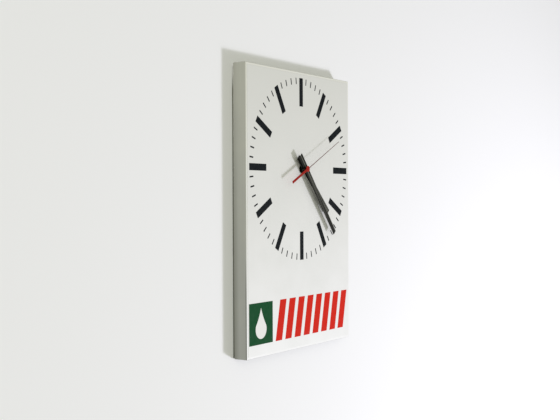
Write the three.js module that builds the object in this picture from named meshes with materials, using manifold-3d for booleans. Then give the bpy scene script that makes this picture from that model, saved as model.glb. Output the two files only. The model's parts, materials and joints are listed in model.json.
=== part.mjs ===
// Service station advertising clock: a folded steel case with a printed face sheet, hung on a
// keyhole plate, with a battery quartz movement and three exposed hands.
// Millimetres. +X is to the right as you read the clock, +Y goes into the wall, +Z is up.
// The origin is on the hanger plate's rear face, in the wall plane, just above the keyhole.
import * as THREE from "three";
import { mergeVertices } from "three/addons/utils/BufferGeometryUtils.js";
import Module from "manifold-3d";

const wasm = await Module();
wasm.setup();

// ---- driving dimensions ---------------------------------------------------------------------

const FACE_WIDTH = 347;
const FACE_HEIGHT = 500;
const HANGER_BELOW_TOP = 45;
const TOP_Z = HANGER_BELOW_TOP;
const BOTTOM_Z = TOP_Z - FACE_HEIGHT;
const FACE_CENTRE_Z = TOP_Z - FACE_HEIGHT / 2;
const DIAL_Z = FACE_CENTRE_Z + 74.4; // the hands' axis

// Depths, counted from the wall at Y = 0. The front is at negative Y.
const SHEET_STEEL = 0.8;
const REST_GAP = 2.5; // the case stands this far off the wall
const CASE_BACK_Y = -REST_GAP;
const CASE_FRONT_Y = -28.5;
const PANEL_INNER_Y = CASE_FRONT_Y + SHEET_STEEL;
const FACE_SHEET = 0.4;
const FACE_Y = CASE_FRONT_Y - FACE_SHEET; // the printed surface
const FOLD_RADIUS = 1.6;
const REAR_LIP = 12; // width of the lip folded in round the open back
const SHEET_INSET = 4; // bare lacquered border round the face sheet

const RAIL_THICK = 1;
const RAIL_INSET = 4.2; // the rail's ends stop this far inside the case's sides
const PLATE_THICK = 1.5;
const RAIL_TOP_Z = 14;
const RAIL_BOTTOM_Z = -34;
const PLATE_WIDTH = 56;
const PLATE_TOP_Z = 9;
const PLATE_BOTTOM_Z = -30;
const SLOT_TOP_Z = -4;
const SLOT_WIDTH = 6;
const KEY_HOLE_Z = -19;
const KEY_HOLE_RADIUS = 5.5;

const RIVET_RADIUS = 1.6;
const RIVET_INSET = 7.2;
const BUMPER_RADIUS = 3.9;
const BUMPER_INSET = 8; // in from the case's edges, so that the side view doesn't show them

// Threaded post, its nut and its washers.
const POST_RADIUS = 3.9;
const POST_HOLE_RADIUS = 4.1;
const RUBBER_THICK = 1;
const BRASS_WASHER_THICK = 0.5;
const NUT_THICK = 2.2;
const NUT_ACROSS_FLATS = 11;

// Movement box, counted from its front face towards the wall.
const BOX_FRONT_Y = PANEL_INNER_Y + RUBBER_THICK;
const BOX_SIZE = 56;
const BOX_DEPTH = 16;
const BOX_WALL = 1.2;
const BOX_TOP = 23; // above the hands' axis
const BOX_BOTTOM = BOX_TOP - BOX_SIZE;
const BAY_WALL_TOP = -14.4; // wall between the wheels and the battery bay
const BAY_WALL_BOTTOM = -15.4;
const COVER_AT = BOX_DEPTH - BOX_WALL;

// Hand heights above the printed face, to the middle of each blade.
const HOUR_HEIGHT = 6.5;
const MINUTE_HEIGHT = 10.7;
const SECOND_HEIGHT = 14.4;
const BLADE_THICK = 0.6;
const SECOND_BLADE_THICK = 0.4;

// Rest angles of the hands, clockwise from twelve.
const HOUR_ANGLE = 133.5;
const MINUTE_ANGLE = 139.7;
const SECOND_ANGLE = 63.9;

// Arbor and tube radii.
const RUN = 0.1; // radial running clearance
const SECOND_ARBOR_RADIUS = 0.5;
const MINUTE_ARBOR_RADIUS = 1.6;
const HOUR_TUBE_RADIUS = 2.5;
const PIVOT_RADIUS = 0.4;
const ARBOR_RADIUS = 0.6;
const SETTING_RADIUS = 1.2;
const PIN_RADIUS = 0.7; // fixed pin that the minute wheel turns on

// ---- gear train -----------------------------------------------------------------------------
// Each pair is a pinion and a wheel: rotor 8 to 40, then 8 to 48, 8 to 60 and 8 to 64 for the
// going train, and 10 to 30 and 10 to 40 for the hour hand. The setting gear has 12 teeth.

const MODULE_TRAIN = 0.28;
const MODULE_THIRD = 0.35;
const THIRD_DISTANCE = (MODULE_THIRD * (8 + 60)) / 2;
const MODULE_CENTRE = (THIRD_DISTANCE * 2) / (8 + 64);
const MODULE_MINUTE = 0.45;
const MINUTE_DISTANCE = (MODULE_MINUTE * (10 + 30)) / 2;
const MODULE_HOUR = (MINUTE_DISTANCE * 2) / (10 + 40);

const polar = (distance, degrees) => [
  distance * Math.cos(THREE.MathUtils.degToRad(degrees)),
  distance * Math.sin(THREE.MathUtils.degToRad(degrees)),
];
const sum = ([x, z], [dx, dz]) => [x + dx, z + dz];
const bearing = ([x, z], [u, v]) => Math.atan2(v - z, u - x);

// Axes in the movement, as [x, z] from the hands' axis.
const CENTRE = [0, 0];
const THIRD = polar(THIRD_DISTANCE, 180);
const INTERMEDIATE = polar((MODULE_TRAIN * (8 + 48)) / 2, 50);
const ROTOR = sum(INTERMEDIATE, polar((MODULE_TRAIN * (8 + 40)) / 2, 50));
const MINUTE = polar(MINUTE_DISTANCE, -35);
const SETTING = sum(MINUTE, polar((MODULE_MINUTE * (12 + 30)) / 2, 0));

// Layers in the movement, as [front, back] from the front face of its box.
const HOUR_WHEEL_AT = [1.4, 2.4];
const MINUTE_WHEEL_AT = [2.8, 3.8];
const CENTRE_WHEEL_AT = [4.5, 5.3];
const MID_PLATE_AT = [5.8, 6.6];
const THIRD_WHEEL_AT = [7.3, 8.1];
const STATOR_AT = [8.8, 9.8];
const BOARD_AT = [9, 10];
const SECOND_WHEEL_AT = [10.1, 10.9];
const INTERMEDIATE_WHEEL_AT = [12.3, 13.1];
const BRIDGE_AT = [13.7, 14.5];
const PINION_OVERLAP = 0.2; // a pinion stands this far past its wheel on each side

// Motor coil, upright on the right of the rotor.
const COIL_X = 22.6;
const COIL_BOTTOM = 2.4;
const COIL_TOP = 14.6;
const CORE_AT = [STATOR_AT[0] - 1.2, STATOR_AT[0]];
const CORE_HALF_WIDTH = 1.9;

// AA cell, lying along X in its bay.
const CELL_RADIUS = 7.1;
const CELL_LENGTH = 50.5;
const CELL_Z = (BAY_WALL_BOTTOM + BOX_BOTTOM + BOX_WALL) / 2;
const CELL_AT = BOX_WALL + 0.2 + CELL_RADIUS;
const CONTACT_THICK = 0.4;

// ---- materials ------------------------------------------------------------------------------

const finish = (color, roughness, metalness = 0) =>
  new THREE.MeshStandardMaterial({ color, roughness, metalness });
const lacquer = finish(0xe9e9e4, 0.45);
const print = finish(0xf0f0ee, 0.5);
const zinc = finish(0xb4b6b8, 0.4, 1);
const rubber = finish(0x1c1c1c, 0.9);
const brass = finish(0xc3a15a, 0.3, 1);
const housing = finish(0x232426, 0.5);
const nylon = finish(0xe8e4d8, 0.5);
const steel = finish(0x9a9ca0, 0.35, 1);
const copper = finish(0xb3673a, 0.35, 1);
const board = finish(0x1e6a3c, 0.5);
const blackPaint = finish(0x1b1c1a, 0.4);
const redPaint = finish(0xc81e0a, 0.4);
const cellWrap = finish(0x33415e, 0.35);

// ---- geometry helpers -----------------------------------------------------------------------

// A geometry as a manifold-3d solid, with shared vertices merged and collapsed faces dropped.
function solid(geometry) {
  const bare = geometry.index ? geometry.toNonIndexed() : geometry.clone();
  bare.deleteAttribute("normal");
  bare.deleteAttribute("uv");
  const merged = mergeVertices(bare, 1e-4);
  const corners = merged.index.array;
  const triVerts = [];
  for (let i = 0; i < corners.length; i += 3) {
    const [a, b, c] = corners.slice(i, i + 3);
    if (a !== b && b !== c && c !== a) triVerts.push(a, b, c);
  }
  return new wasm.Manifold(
    new wasm.Mesh({
      numProp: 3,
      vertProperties: new Float32Array(merged.attributes.position.array),
      triVerts: new Uint32Array(triVerts),
    }),
  );
}

function geometryOf(body) {
  const mesh = body.getMesh();
  const geometry = new THREE.BufferGeometry();
  geometry.setAttribute("position", new THREE.BufferAttribute(mesh.vertProperties, 3));
  geometry.setIndex(new THREE.BufferAttribute(mesh.triVerts, 1));
  const flat = geometry.toNonIndexed();
  flat.computeVertexNormals();
  return flat;
}

// The first geometry joined with the rest of added, less every geometry in removed.
function carve(added, removed = []) {
  let body = solid(added[0]);
  for (const geometry of added.slice(1)) body = body.add(solid(geometry));
  for (const geometry of removed) body = body.subtract(solid(geometry));
  return geometryOf(body);
}

// A flat outline in X and Z, given as a THREE.Shape, made solid from yFront back to yBack.
function slab(shape, yFront, yBack, curveSegments = 12) {
  const depth = yBack - yFront;
  const geometry = new THREE.ExtrudeGeometry(shape, { depth, bevelEnabled: false, curveSegments });
  return geometry.rotateX(Math.PI / 2).translate(0, yBack, 0);
}

// A block between two corners.
function block([x0, y0, z0], [x1, y1, z1]) {
  const geometry = new THREE.BoxGeometry(x1 - x0, y1 - y0, z1 - z0);
  return geometry.translate((x0 + x1) / 2, (y0 + y1) / 2, (z0 + z1) / 2);
}

// A piece turned about an axis along Y through [x, z]: pairs of radius and y, from low y to high
// y on the outside and back on the inside.
function turned(profile, [x, z] = [0, 0], segments = 24) {
  const points = profile.map(([radius, y]) => new THREE.Vector2(radius, y));
  return new THREE.LatheGeometry(points, segments).translate(x, 0, z);
}

// A plain rod or a ring about an axis along Y.
const rod = (radius, y0, y1, at, segments = 24) =>
  turned([[0, y0], [radius, y0], [radius, y1], [0, y1]], at, segments);
const ring = (inner, outer, y0, y1, at, segments = 32) =>
  turned([[inner, y0], [outer, y0], [outer, y1], [inner, y1], [inner, y0]], at, segments);

function rectangle(x0, z0, x1, z1) {
  const shape = new THREE.Shape();
  shape.moveTo(x0, z0);
  shape.lineTo(x1, z0);
  shape.lineTo(x1, z1);
  shape.lineTo(x0, z1);
  return shape;
}

function polygon(points) {
  return new THREE.Shape(points.map(([x, z]) => new THREE.Vector2(x, z)));
}

function roundedRectangle(x0, z0, x1, z1, radius) {
  const shape = new THREE.Shape();
  shape.moveTo(x0 + radius, z0);
  shape.absarc(x1 - radius, z0 + radius, radius, -Math.PI / 2, 0);
  shape.absarc(x1 - radius, z1 - radius, radius, 0, Math.PI / 2);
  shape.absarc(x0 + radius, z1 - radius, radius, Math.PI / 2, Math.PI);
  shape.absarc(x0 + radius, z0 + radius, radius, Math.PI, 1.5 * Math.PI);
  return shape;
}

function circle(radius, [x, z] = [0, 0]) {
  const path = new THREE.Path();
  path.absarc(x, z, radius, 0, 2 * Math.PI);
  return path;
}

// Depth inside the movement, from the front face of its box, as a Y.
const inBox = (depth) => BOX_FRONT_Y + depth;

// ---- gears ----------------------------------------------------------------------------------

// Clock gear outline about [x, z]: straight root flanks, and tips that narrow above the pitch
// line. phase is the bearing of one tooth's centre line.
function gearShape(teeth, module, [x, z], phase) {
  const pitchRadius = (teeth * module) / 2;
  const small = teeth < 20;
  const halfTooth = ((small ? 0.36 : 0.42) * Math.PI) / teeth;
  const root = [pitchRadius - 1.25 * module, halfTooth];
  const pitch = [pitchRadius, halfTooth];
  const shoulder = [pitchRadius + 0.5 * module, 0.78 * halfTooth];
  const tip = [pitchRadius + 0.9 * module, 0.4 * halfTooth];
  const wideRoot = [root[0], 1.1 * halfTooth];
  const flank = small ? [root, pitch, shoulder, tip] : [wideRoot, tip];
  const points = [];
  for (let tooth = 0; tooth < teeth; tooth++) {
    const middle = phase + (tooth * 2 * Math.PI) / teeth;
    const rising = flank.map(([radius, half]) => [radius, middle - half]);
    const falling = flank.map(([radius, half]) => [radius, middle + half]).reverse();
    for (const [radius, angle] of [...rising, ...falling])
      points.push([x + radius * Math.cos(angle), z + radius * Math.sin(angle)]);
  }
  return polygon(points);
}

const gear = (teeth, module, at, phase, [front, back]) =>
  slab(gearShape(teeth, module, at, phase), inBox(front), inBox(back));

// Phase of a gear at [to] that meshes with one at [from] whose own phase is known.
function meshedPhase(from, fromTeeth, fromPhase, to, toTeeth) {
  const line = bearing(from, to);
  return line + Math.PI + Math.PI / toTeeth - ((fromPhase - line) * fromTeeth) / toTeeth;
}

const pinionAt = ([front, back]) => [front - PINION_OVERLAP, back + PINION_OVERLAP];

// ---- case -----------------------------------------------------------------------------------

// A block with rounded front edges, as a folded tray has, from yFront back past the open side.
function foldedBlock(width, height, radius, yFront) {
  const right = width / 2 - radius;
  const top = height / 2 - radius;
  const shape = rectangle(-right, -top, right, top);
  const depth = CASE_BACK_Y - yFront;
  const geometry = new THREE.ExtrudeGeometry(shape, {
    depth,
    bevelThickness: radius,
    bevelSize: radius,
    bevelSegments: 4,
  });
  return geometry.rotateX(-Math.PI / 2).translate(0, yFront + radius, FACE_CENTRE_Z);
}

const RIVET_X = FACE_WIDTH / 2 - RIVET_INSET;
const RIVET_SPOTS = {
  upper_left: [-RIVET_X, RAIL_TOP_Z - 9],
  lower_left: [-RIVET_X, RAIL_BOTTOM_Z + 9],
  upper_right: [RIVET_X, RAIL_TOP_Z - 9],
  lower_right: [RIVET_X, RAIL_BOTTOM_Z + 9],
};

function caseShell() {
  const outer = foldedBlock(FACE_WIDTH, FACE_HEIGHT, FOLD_RADIUS, CASE_FRONT_Y);
  const inner = foldedBlock(
    FACE_WIDTH - 2 * SHEET_STEEL,
    FACE_HEIGHT - 2 * SHEET_STEEL,
    FOLD_RADIUS - SHEET_STEEL,
    PANEL_INNER_Y,
  );
  const behind = block([-FACE_WIDTH, CASE_BACK_Y, BOTTOM_Z - 10], [FACE_WIDTH, 10, TOP_Z + 10]);
  const half = FACE_WIDTH / 2;
  const lip = rectangle(-half, BOTTOM_Z, half, TOP_Z);
  lip.holes.push(
    rectangle(-half + REAR_LIP, BOTTOM_Z + REAR_LIP, half - REAR_LIP, TOP_Z - REAR_LIP),
  );
  const postHole = rod(POST_HOLE_RADIUS, CASE_FRONT_Y - 1, PANEL_INNER_Y + 1, [0, DIAL_Z], 32);
  const rivetHoles = Object.values(RIVET_SPOTS).map((spot) =>
    rod(RIVET_RADIUS + RUN, CASE_BACK_Y - 2, CASE_BACK_Y + 1, spot, 16),
  );
  const tray = solid(outer).subtract(solid(inner)).subtract(solid(behind));
  const lipped = tray.add(solid(slab(lip, CASE_BACK_Y - SHEET_STEEL, CASE_BACK_Y)));
  const holes = [postHole, ...rivetHoles].map(solid);
  return geometryOf(holes.reduce((body, hole) => body.subtract(hole), lipped));
}

function faceSheet() {
  const half = FACE_WIDTH / 2 - SHEET_INSET;
  const shape = rectangle(-half, BOTTOM_Z + SHEET_INSET, half, TOP_Z - SHEET_INSET);
  shape.holes.push(circle(POST_HOLE_RADIUS, [0, DIAL_Z]));
  return slab(shape, FACE_Y, CASE_FRONT_Y);
}

function hangerRail() {
  const half = FACE_WIDTH / 2 - RAIL_INSET;
  const shape = rectangle(-half, RAIL_BOTTOM_Z, half, RAIL_TOP_Z);
  const window = KEY_HOLE_RADIUS + 4;
  shape.holes.push(
    roundedRectangle(-window, KEY_HOLE_Z - window, window, SLOT_TOP_Z + 3, 3),
    ...Object.values(RIVET_SPOTS).map((spot) => circle(RIVET_RADIUS + RUN, spot)),
  );
  return slab(shape, CASE_BACK_Y, CASE_BACK_Y + RAIL_THICK, 6);
}

// Screw head in at the round hole, then the clock drops until the shank is at the slot's top.
function hangerPlate() {
  const half = PLATE_WIDTH / 2;
  const shape = roundedRectangle(-half, PLATE_BOTTOM_Z, half, PLATE_TOP_Z, 4);
  const slotHalf = SLOT_WIDTH / 2;
  const meets = Math.asin(slotHalf / KEY_HOLE_RADIUS);
  const keyhole = new THREE.Path();
  keyhole.absarc(0, KEY_HOLE_Z, KEY_HOLE_RADIUS, Math.PI / 2 + meets, 2.5 * Math.PI - meets);
  keyhole.absarc(0, SLOT_TOP_Z - slotHalf, slotHalf, 0, Math.PI);
  shape.holes.push(keyhole);
  return slab(shape, -PLATE_THICK, 0, 8);
}

// Flat-headed rivet through the rail and the lip, closed over inside the case.
function rivet(spot) {
  const rearFace = CASE_BACK_Y + RAIL_THICK;
  const innerFace = CASE_BACK_Y - SHEET_STEEL;
  const profile = [
    [0, innerFace - 1],
    [1.9, innerFace - 0.9],
    [2.5, innerFace],
    [RIVET_RADIUS, innerFace],
    [RIVET_RADIUS, rearFace],
    [3.2, rearFace],
    [2.8, rearFace + 0.7],
    [0, rearFace + 0.9],
  ];
  return turned(profile, spot, 12);
}

function bumper(spot) {
  const top = BUMPER_RADIUS - 0.9;
  return turned([[0, CASE_BACK_Y], [BUMPER_RADIUS, CASE_BACK_Y], [top, 0], [0, 0]], spot);
}

// ---- movement box and what holds it to the panel --------------------------------------------

function withPillars(geometry, spots, radius, front, back) {
  const pillars = spots.map((spot) => rod(radius, inBox(front), inBox(back), spot, 12));
  return carve([geometry, ...pillars]);
}

// An open box with the threaded post in front, a wall between the wheels and the battery, and
// pillars that carry the mid plate.
function movementHousing() {
  const half = BOX_SIZE / 2;
  const inner = half - BOX_WALL;
  const outside = roundedRectangle(-half, BOX_BOTTOM, half, BOX_TOP, 3);
  const wheels = roundedRectangle(-inner, BAY_WALL_TOP, inner, BOX_TOP - BOX_WALL, 1.5);
  const bay = rectangle(-inner, BOX_BOTTOM + BOX_WALL, inner, BAY_WALL_BOTTOM);
  const postEnd = FACE_Y - BRASS_WASHER_THICK - NUT_THICK - 0.6;
  const shell = carve(
    [
      slab(outside, inBox(0), inBox(COVER_AT), 4),
      rod(POST_RADIUS, postEnd, inBox(0.5), CENTRE, 32),
    ],
    [
      slab(wheels, inBox(BOX_WALL), inBox(BOX_DEPTH), 3),
      slab(bay, inBox(BOX_WALL), inBox(BOX_DEPTH)),
      rod(HOUR_TUBE_RADIUS + RUN, postEnd - 1, inBox(2), CENTRE, 32),
      rod(PIVOT_RADIUS + RUN, inBox(0.5), inBox(2), THIRD, 12),
      rod(PIVOT_RADIUS + RUN, inBox(0.5), inBox(2), SETTING, 12),
    ],
  );
  const minutePin = rod(PIN_RADIUS, inBox(0.5), inBox(MINUTE_WHEEL_AT[1]), MINUTE, 12);
  const pillars = [[-24, -12.4], [12.2, -12.8], [-24, 12.8], [3, 13.4]];
  return withPillars(carve([shell, minutePin]), pillars, 1.2, 0.5, MID_PLATE_AT[0]);
}

function movementCover() {
  const half = BOX_SIZE / 2;
  const shape = roundedRectangle(-half, BOX_BOTTOM, half, BOX_TOP, 3);
  const inner = half - BOX_WALL;
  shape.holes.push(
    rectangle(-inner, BOX_BOTTOM + BOX_WALL, inner, BAY_WALL_BOTTOM),
    circle(SETTING_RADIUS + RUN, SETTING),
  );
  return slab(shape, inBox(COVER_AT), inBox(BOX_DEPTH), 5);
}

// The mid plate and the train bridge share one outline.
function framePlate([front, back], holes) {
  const shape = roundedRectangle(-25.5, -13.8, 13, 14.6, 2);
  for (const [radius, at] of holes) shape.holes.push(circle(radius, at));
  return slab(shape, inBox(front), inBox(back), 4);
}

function midPlate() {
  return framePlate(MID_PLATE_AT, [
    [SECOND_ARBOR_RADIUS + RUN, CENTRE],
    [MODULE_CENTRE * 5 + 0.5, THIRD],
    [PIVOT_RADIUS + RUN, INTERMEDIATE],
    [PIVOT_RADIUS + RUN, ROTOR],
  ]);
}

function trainBridge() {
  const pivots = [CENTRE, THIRD, INTERMEDIATE, ROTOR];
  const plate = framePlate(
    BRIDGE_AT,
    pivots.map((at) => [PIVOT_RADIUS + RUN, at]),
  );
  const legs = [[-24, -12.4], [2.5, -12.6], [-1.6, 13]];
  return withPillars(plate, legs, 1.1, MID_PLATE_AT[1], BRIDGE_AT[0] + 0.3);
}

const rubberWasher = () => ring(POST_HOLE_RADIUS, 12, PANEL_INNER_Y, inBox(0), CENTRE);
const brassWasher = () =>
  ring(POST_HOLE_RADIUS, 7.5, FACE_Y - BRASS_WASHER_THICK, FACE_Y, CENTRE);

function mountingNut() {
  const back = FACE_Y - BRASS_WASHER_THICK;
  const corner = NUT_ACROSS_FLATS / 2 / Math.cos(Math.PI / 6);
  const hexagon = polygon([0, 1, 2, 3, 4, 5].map((side) => polar(corner, 60 * side)));
  hexagon.holes.push(circle(POST_RADIUS + RUN));
  return slab(hexagon, back - NUT_THICK, back, 16);
}

// ---- wheels and arbors ----------------------------------------------------------------------

// A wheel and its pinion on one arbor with a fine pivot at each end.
function trainWheel(at, wheel, pinion, arborFrom, arborTo, pivotFrom, pivotTo) {
  return carve([
    gear(wheel.teeth, wheel.module, at, wheel.phase, wheel.span),
    gear(pinion.teeth, pinion.module, at, pinion.phase, pinion.span),
    rod(ARBOR_RADIUS, inBox(arborFrom), inBox(arborTo), at, 12),
    rod(PIVOT_RADIUS, inBox(pivotFrom), inBox(pivotTo), at, 12),
  ]);
}

const HOUR_Y = FACE_Y - HOUR_HEIGHT;
const MINUTE_Y = FACE_Y - MINUTE_HEIGHT;
const SECOND_Y = FACE_Y - SECOND_HEIGHT;

// The hour hand's wheel and the tube that it drives, which runs in the post.
function hourWheel() {
  const phase = meshedPhase(MINUTE, 10, bearing(MINUTE, CENTRE), CENTRE, 40);
  const front = HOUR_Y - BLADE_THICK / 2 - 0.4;
  return carve(
    [
      gear(40, MODULE_HOUR, CENTRE, phase, HOUR_WHEEL_AT),
      rod(HOUR_TUBE_RADIUS, front, inBox(HOUR_WHEEL_AT[1]), CENTRE, 32),
    ],
    [rod(MINUTE_ARBOR_RADIUS + RUN, front - 1, inBox(3), CENTRE, 24)],
  );
}

// The minute hand's tube, with the pinion that drives the minute wheel.
function minuteArbor() {
  const front = MINUTE_Y - BLADE_THICK / 2 - 0.4;
  const [wheelFront, wheelBack] = CENTRE_WHEEL_AT;
  return carve(
    [
      rod(MINUTE_ARBOR_RADIUS, front, inBox(wheelBack + PINION_OVERLAP), CENTRE, 24),
      gear(10, MODULE_MINUTE, CENTRE, bearing(CENTRE, MINUTE), [
        MINUTE_WHEEL_AT[0] - 0.1,
        wheelFront,
      ]),
    ],
    [rod(SECOND_ARBOR_RADIUS + RUN, front - 1, inBox(BOX_DEPTH), CENTRE, 16)],
  );
}

// Held on the minute arbor by friction, so that the hands can be set.
function centreWheel() {
  const shape = gearShape(64, MODULE_CENTRE, CENTRE, bearing(CENTRE, THIRD));
  shape.holes.push(circle(MINUTE_ARBOR_RADIUS + 0.05));
  return slab(shape, inBox(CENTRE_WHEEL_AT[0]), inBox(CENTRE_WHEEL_AT[1]));
}

function thirdWheel() {
  const pinionPhase = meshedPhase(CENTRE, 64, bearing(CENTRE, THIRD), THIRD, 8);
  const pinion = {
    teeth: 8,
    module: MODULE_CENTRE,
    phase: pinionPhase,
    span: pinionAt(CENTRE_WHEEL_AT),
  };
  const wheel = {
    teeth: 60,
    module: MODULE_THIRD,
    phase: bearing(THIRD, CENTRE),
    span: THIRD_WHEEL_AT,
  };
  return trainWheel(THIRD, wheel, pinion, 4, 13.4, 0.7, BRIDGE_AT[1]);
}

// The second hand's arbor runs forward through the minute tube.
function secondWheel() {
  const pinionPhase = meshedPhase(THIRD, 60, bearing(THIRD, CENTRE), CENTRE, 8);
  const front = SECOND_Y + SECOND_BLADE_THICK / 2 + 0.05;
  return carve([
    gear(48, MODULE_TRAIN, CENTRE, bearing(CENTRE, INTERMEDIATE), SECOND_WHEEL_AT),
    gear(8, MODULE_THIRD, CENTRE, pinionPhase, pinionAt(THIRD_WHEEL_AT)),
    rod(SECOND_ARBOR_RADIUS, front, inBox(13.4), CENTRE, 12),
    rod(PIVOT_RADIUS, inBox(13), inBox(BRIDGE_AT[1]), CENTRE, 12),
  ]);
}

function intermediateWheel() {
  const pinion = {
    teeth: 8,
    module: MODULE_TRAIN,
    phase: meshedPhase(CENTRE, 48, bearing(CENTRE, INTERMEDIATE), INTERMEDIATE, 8),
    span: pinionAt(SECOND_WHEEL_AT),
  };
  const wheel = {
    teeth: 40,
    module: MODULE_TRAIN,
    phase: bearing(INTERMEDIATE, ROTOR),
    span: INTERMEDIATE_WHEEL_AT,
  };
  return trainWheel(INTERMEDIATE, wheel, pinion, 7, 13.4, MID_PLATE_AT[0], BRIDGE_AT[1]);
}

const MAGNET_RADIUS = 2.7;
const MAGNET_AT = [STATOR_AT[0] - 0.5, STATOR_AT[1] + 0.5];

function rotorPinion() {
  const phase = meshedPhase(INTERMEDIATE, 40, bearing(INTERMEDIATE, ROTOR), ROTOR, 8);
  return carve([
    gear(8, MODULE_TRAIN, ROTOR, phase, pinionAt(INTERMEDIATE_WHEEL_AT)),
    rod(ARBOR_RADIUS, inBox(7), inBox(13.4), ROTOR, 12),
    rod(PIVOT_RADIUS, inBox(MID_PLATE_AT[0]), inBox(BRIDGE_AT[1]), ROTOR, 12),
  ]);
}

const rotorMagnet = () =>
  ring(ARBOR_RADIUS + 0.05, MAGNET_RADIUS, inBox(MAGNET_AT[0]), inBox(MAGNET_AT[1]), ROTOR, 24);

const MINUTE_WHEEL_PHASE = meshedPhase(CENTRE, 10, bearing(CENTRE, MINUTE), MINUTE, 30);

function minuteWheel() {
  return carve(
    [
      gear(30, MODULE_MINUTE, MINUTE, MINUTE_WHEEL_PHASE, MINUTE_WHEEL_AT),
      gear(10, MODULE_HOUR, MINUTE, bearing(MINUTE, CENTRE), [HOUR_WHEEL_AT[0], 3]),
    ],
    [rod(PIN_RADIUS + RUN, inBox(1), inBox(BOX_DEPTH), MINUTE, 16)],
  );
}

// The arbor that the knob at the back turns.
function settingArbor() {
  const phase = meshedPhase(MINUTE, 30, MINUTE_WHEEL_PHASE, SETTING, 12);
  const span = [MINUTE_WHEEL_AT[0] - 0.1, MINUTE_WHEEL_AT[1] + 0.1];
  return carve([
    gear(12, MODULE_MINUTE, SETTING, phase, span),
    rod(SETTING_RADIUS, inBox(1.5), inBox(BOX_DEPTH + 3.2), SETTING, 16),
    rod(PIVOT_RADIUS, inBox(0.7), inBox(2), SETTING, 12),
  ]);
}

function settingKnob() {
  const ribs = 20;
  const points = [];
  for (let rib = 0; rib < 2 * ribs; rib++)
    points.push(sum(SETTING, polar(rib % 2 ? 6.1 : 6.6, (rib * 180) / ribs)));
  const shape = polygon(points);
  shape.holes.push(circle(SETTING_RADIUS + 0.05, SETTING));
  return slab(shape, inBox(BOX_DEPTH + 0.5), inBox(BOX_DEPTH + 3.5), 8);
}

// ---- motor and electronics ------------------------------------------------------------------

// Soft iron plate: a ring round the rotor, with one arm to each end of the coil.
function stator() {
  const [rotorX, rotorZ] = ROTOR;
  const right = COIL_X + CORE_HALF_WIDTH;
  const left = COIL_X - CORE_HALF_WIDTH;
  const shape = polygon([
    [rotorX - 4.6, rotorZ - 2.2],
    [rotorX - 2.2, rotorZ - 4.4],
    [rotorX + 3.4, rotorZ - 4.4],
    [left - 3.2, -1.8],
    [right, -1.8],
    [right, 2],
    [left - 2.4, 2],
    [rotorX + 5.2, rotorZ - 1.6],
    [rotorX + 5.2, rotorZ + 3],
    [left - 3, 15.2],
    [right, 15.2],
    [right, 19],
    [rotorX - 1, 19],
    [rotorX - 4.6, rotorZ + 3.2],
  ]);
  shape.holes.push(circle(MAGNET_RADIUS + 0.45, ROTOR));
  return slab(shape, inBox(STATOR_AT[0]), inBox(STATOR_AT[1]), 12);
}

const coilCore = () =>
  block(
    [COIL_X - CORE_HALF_WIDTH, inBox(CORE_AT[0]), -1.8],
    [COIL_X + CORE_HALF_WIDTH, inBox(CORE_AT[1]), 19],
  );

// A turned piece that stands upright on the coil's axis.
function upright(profile, segments = 20) {
  const points = profile.map(([radius, z]) => new THREE.Vector2(radius, z));
  const geometry = new THREE.LatheGeometry(points, segments).rotateX(Math.PI / 2);
  return geometry.translate(COIL_X, inBox((CORE_AT[0] + CORE_AT[1]) / 2), 0);
}

const FLANGE = 1;

function coilBobbin() {
  const profile = [
    [0, COIL_BOTTOM],
    [3.9, COIL_BOTTOM],
    [3.9, COIL_BOTTOM + FLANGE],
    [2.6, COIL_BOTTOM + FLANGE],
    [2.6, COIL_TOP - FLANGE],
    [3.9, COIL_TOP - FLANGE],
    [3.9, COIL_TOP],
    [0, COIL_TOP],
  ];
  const hole = block(
    [COIL_X - CORE_HALF_WIDTH - RUN, inBox(CORE_AT[0] - RUN), 0],
    [COIL_X + CORE_HALF_WIDTH + RUN, inBox(CORE_AT[1] + RUN), COIL_TOP + 2],
  );
  return carve([upright(profile)], [hole]);
}

function coilWinding() {
  const bottom = COIL_BOTTOM + FLANGE + 0.05;
  const top = COIL_TOP - FLANGE - 0.05;
  return upright([[2.7, bottom], [3.7, bottom], [3.7, top], [2.7, top], [2.7, bottom]]);
}

const circuitBoard = () =>
  slab(rectangle(-25.8, 12.2, -4.5, 21.2), inBox(BOARD_AT[0]), inBox(BOARD_AT[1]));

// Tuning-fork crystal in its small round can, lying on the board.
function quartzCrystal() {
  const can = new THREE.CylinderGeometry(1.5, 1.5, 8, 16).rotateZ(Math.PI / 2);
  return can.translate(-19, inBox(BOARD_AT[1] + 1.55), 17.5);
}

// Drop of black resin over the bare driver chip.
function driverChip() {
  const back = inBox(BOARD_AT[1]);
  const profile = [[0, back], [3, back], [2.5, back + 0.8], [1.3, back + 1.3], [0, back + 1.4]];
  return turned(profile, [-9, 16.8], 16);
}

// ---- battery --------------------------------------------------------------------------------

const CELL_LEFT = -BOX_SIZE / 2 + BOX_WALL + CONTACT_THICK;
const CELL_RIGHT = CELL_LEFT + CELL_LENGTH;

function cell() {
  const nub = 1.4;
  const profile = [
    [0, 0],
    [2.7, 0],
    [2.7, nub],
    [CELL_RADIUS - 0.7, nub],
    [CELL_RADIUS, nub + 0.7],
    [CELL_RADIUS, CELL_LENGTH - 0.5],
    [CELL_RADIUS - 0.6, CELL_LENGTH],
    [0, CELL_LENGTH],
  ];
  const points = profile.map(([radius, length]) => new THREE.Vector2(radius, length));
  const geometry = new THREE.LatheGeometry(points, 32).rotateZ(-Math.PI / 2);
  return geometry.translate(CELL_LEFT, inBox(CELL_AT), CELL_Z);
}

const contactPlus = () =>
  block(
    [CELL_LEFT - CONTACT_THICK, inBox(CELL_AT - 5), CELL_Z - 4.5],
    [CELL_LEFT, inBox(CELL_AT + 5), CELL_Z + 4.5],
  );

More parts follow.
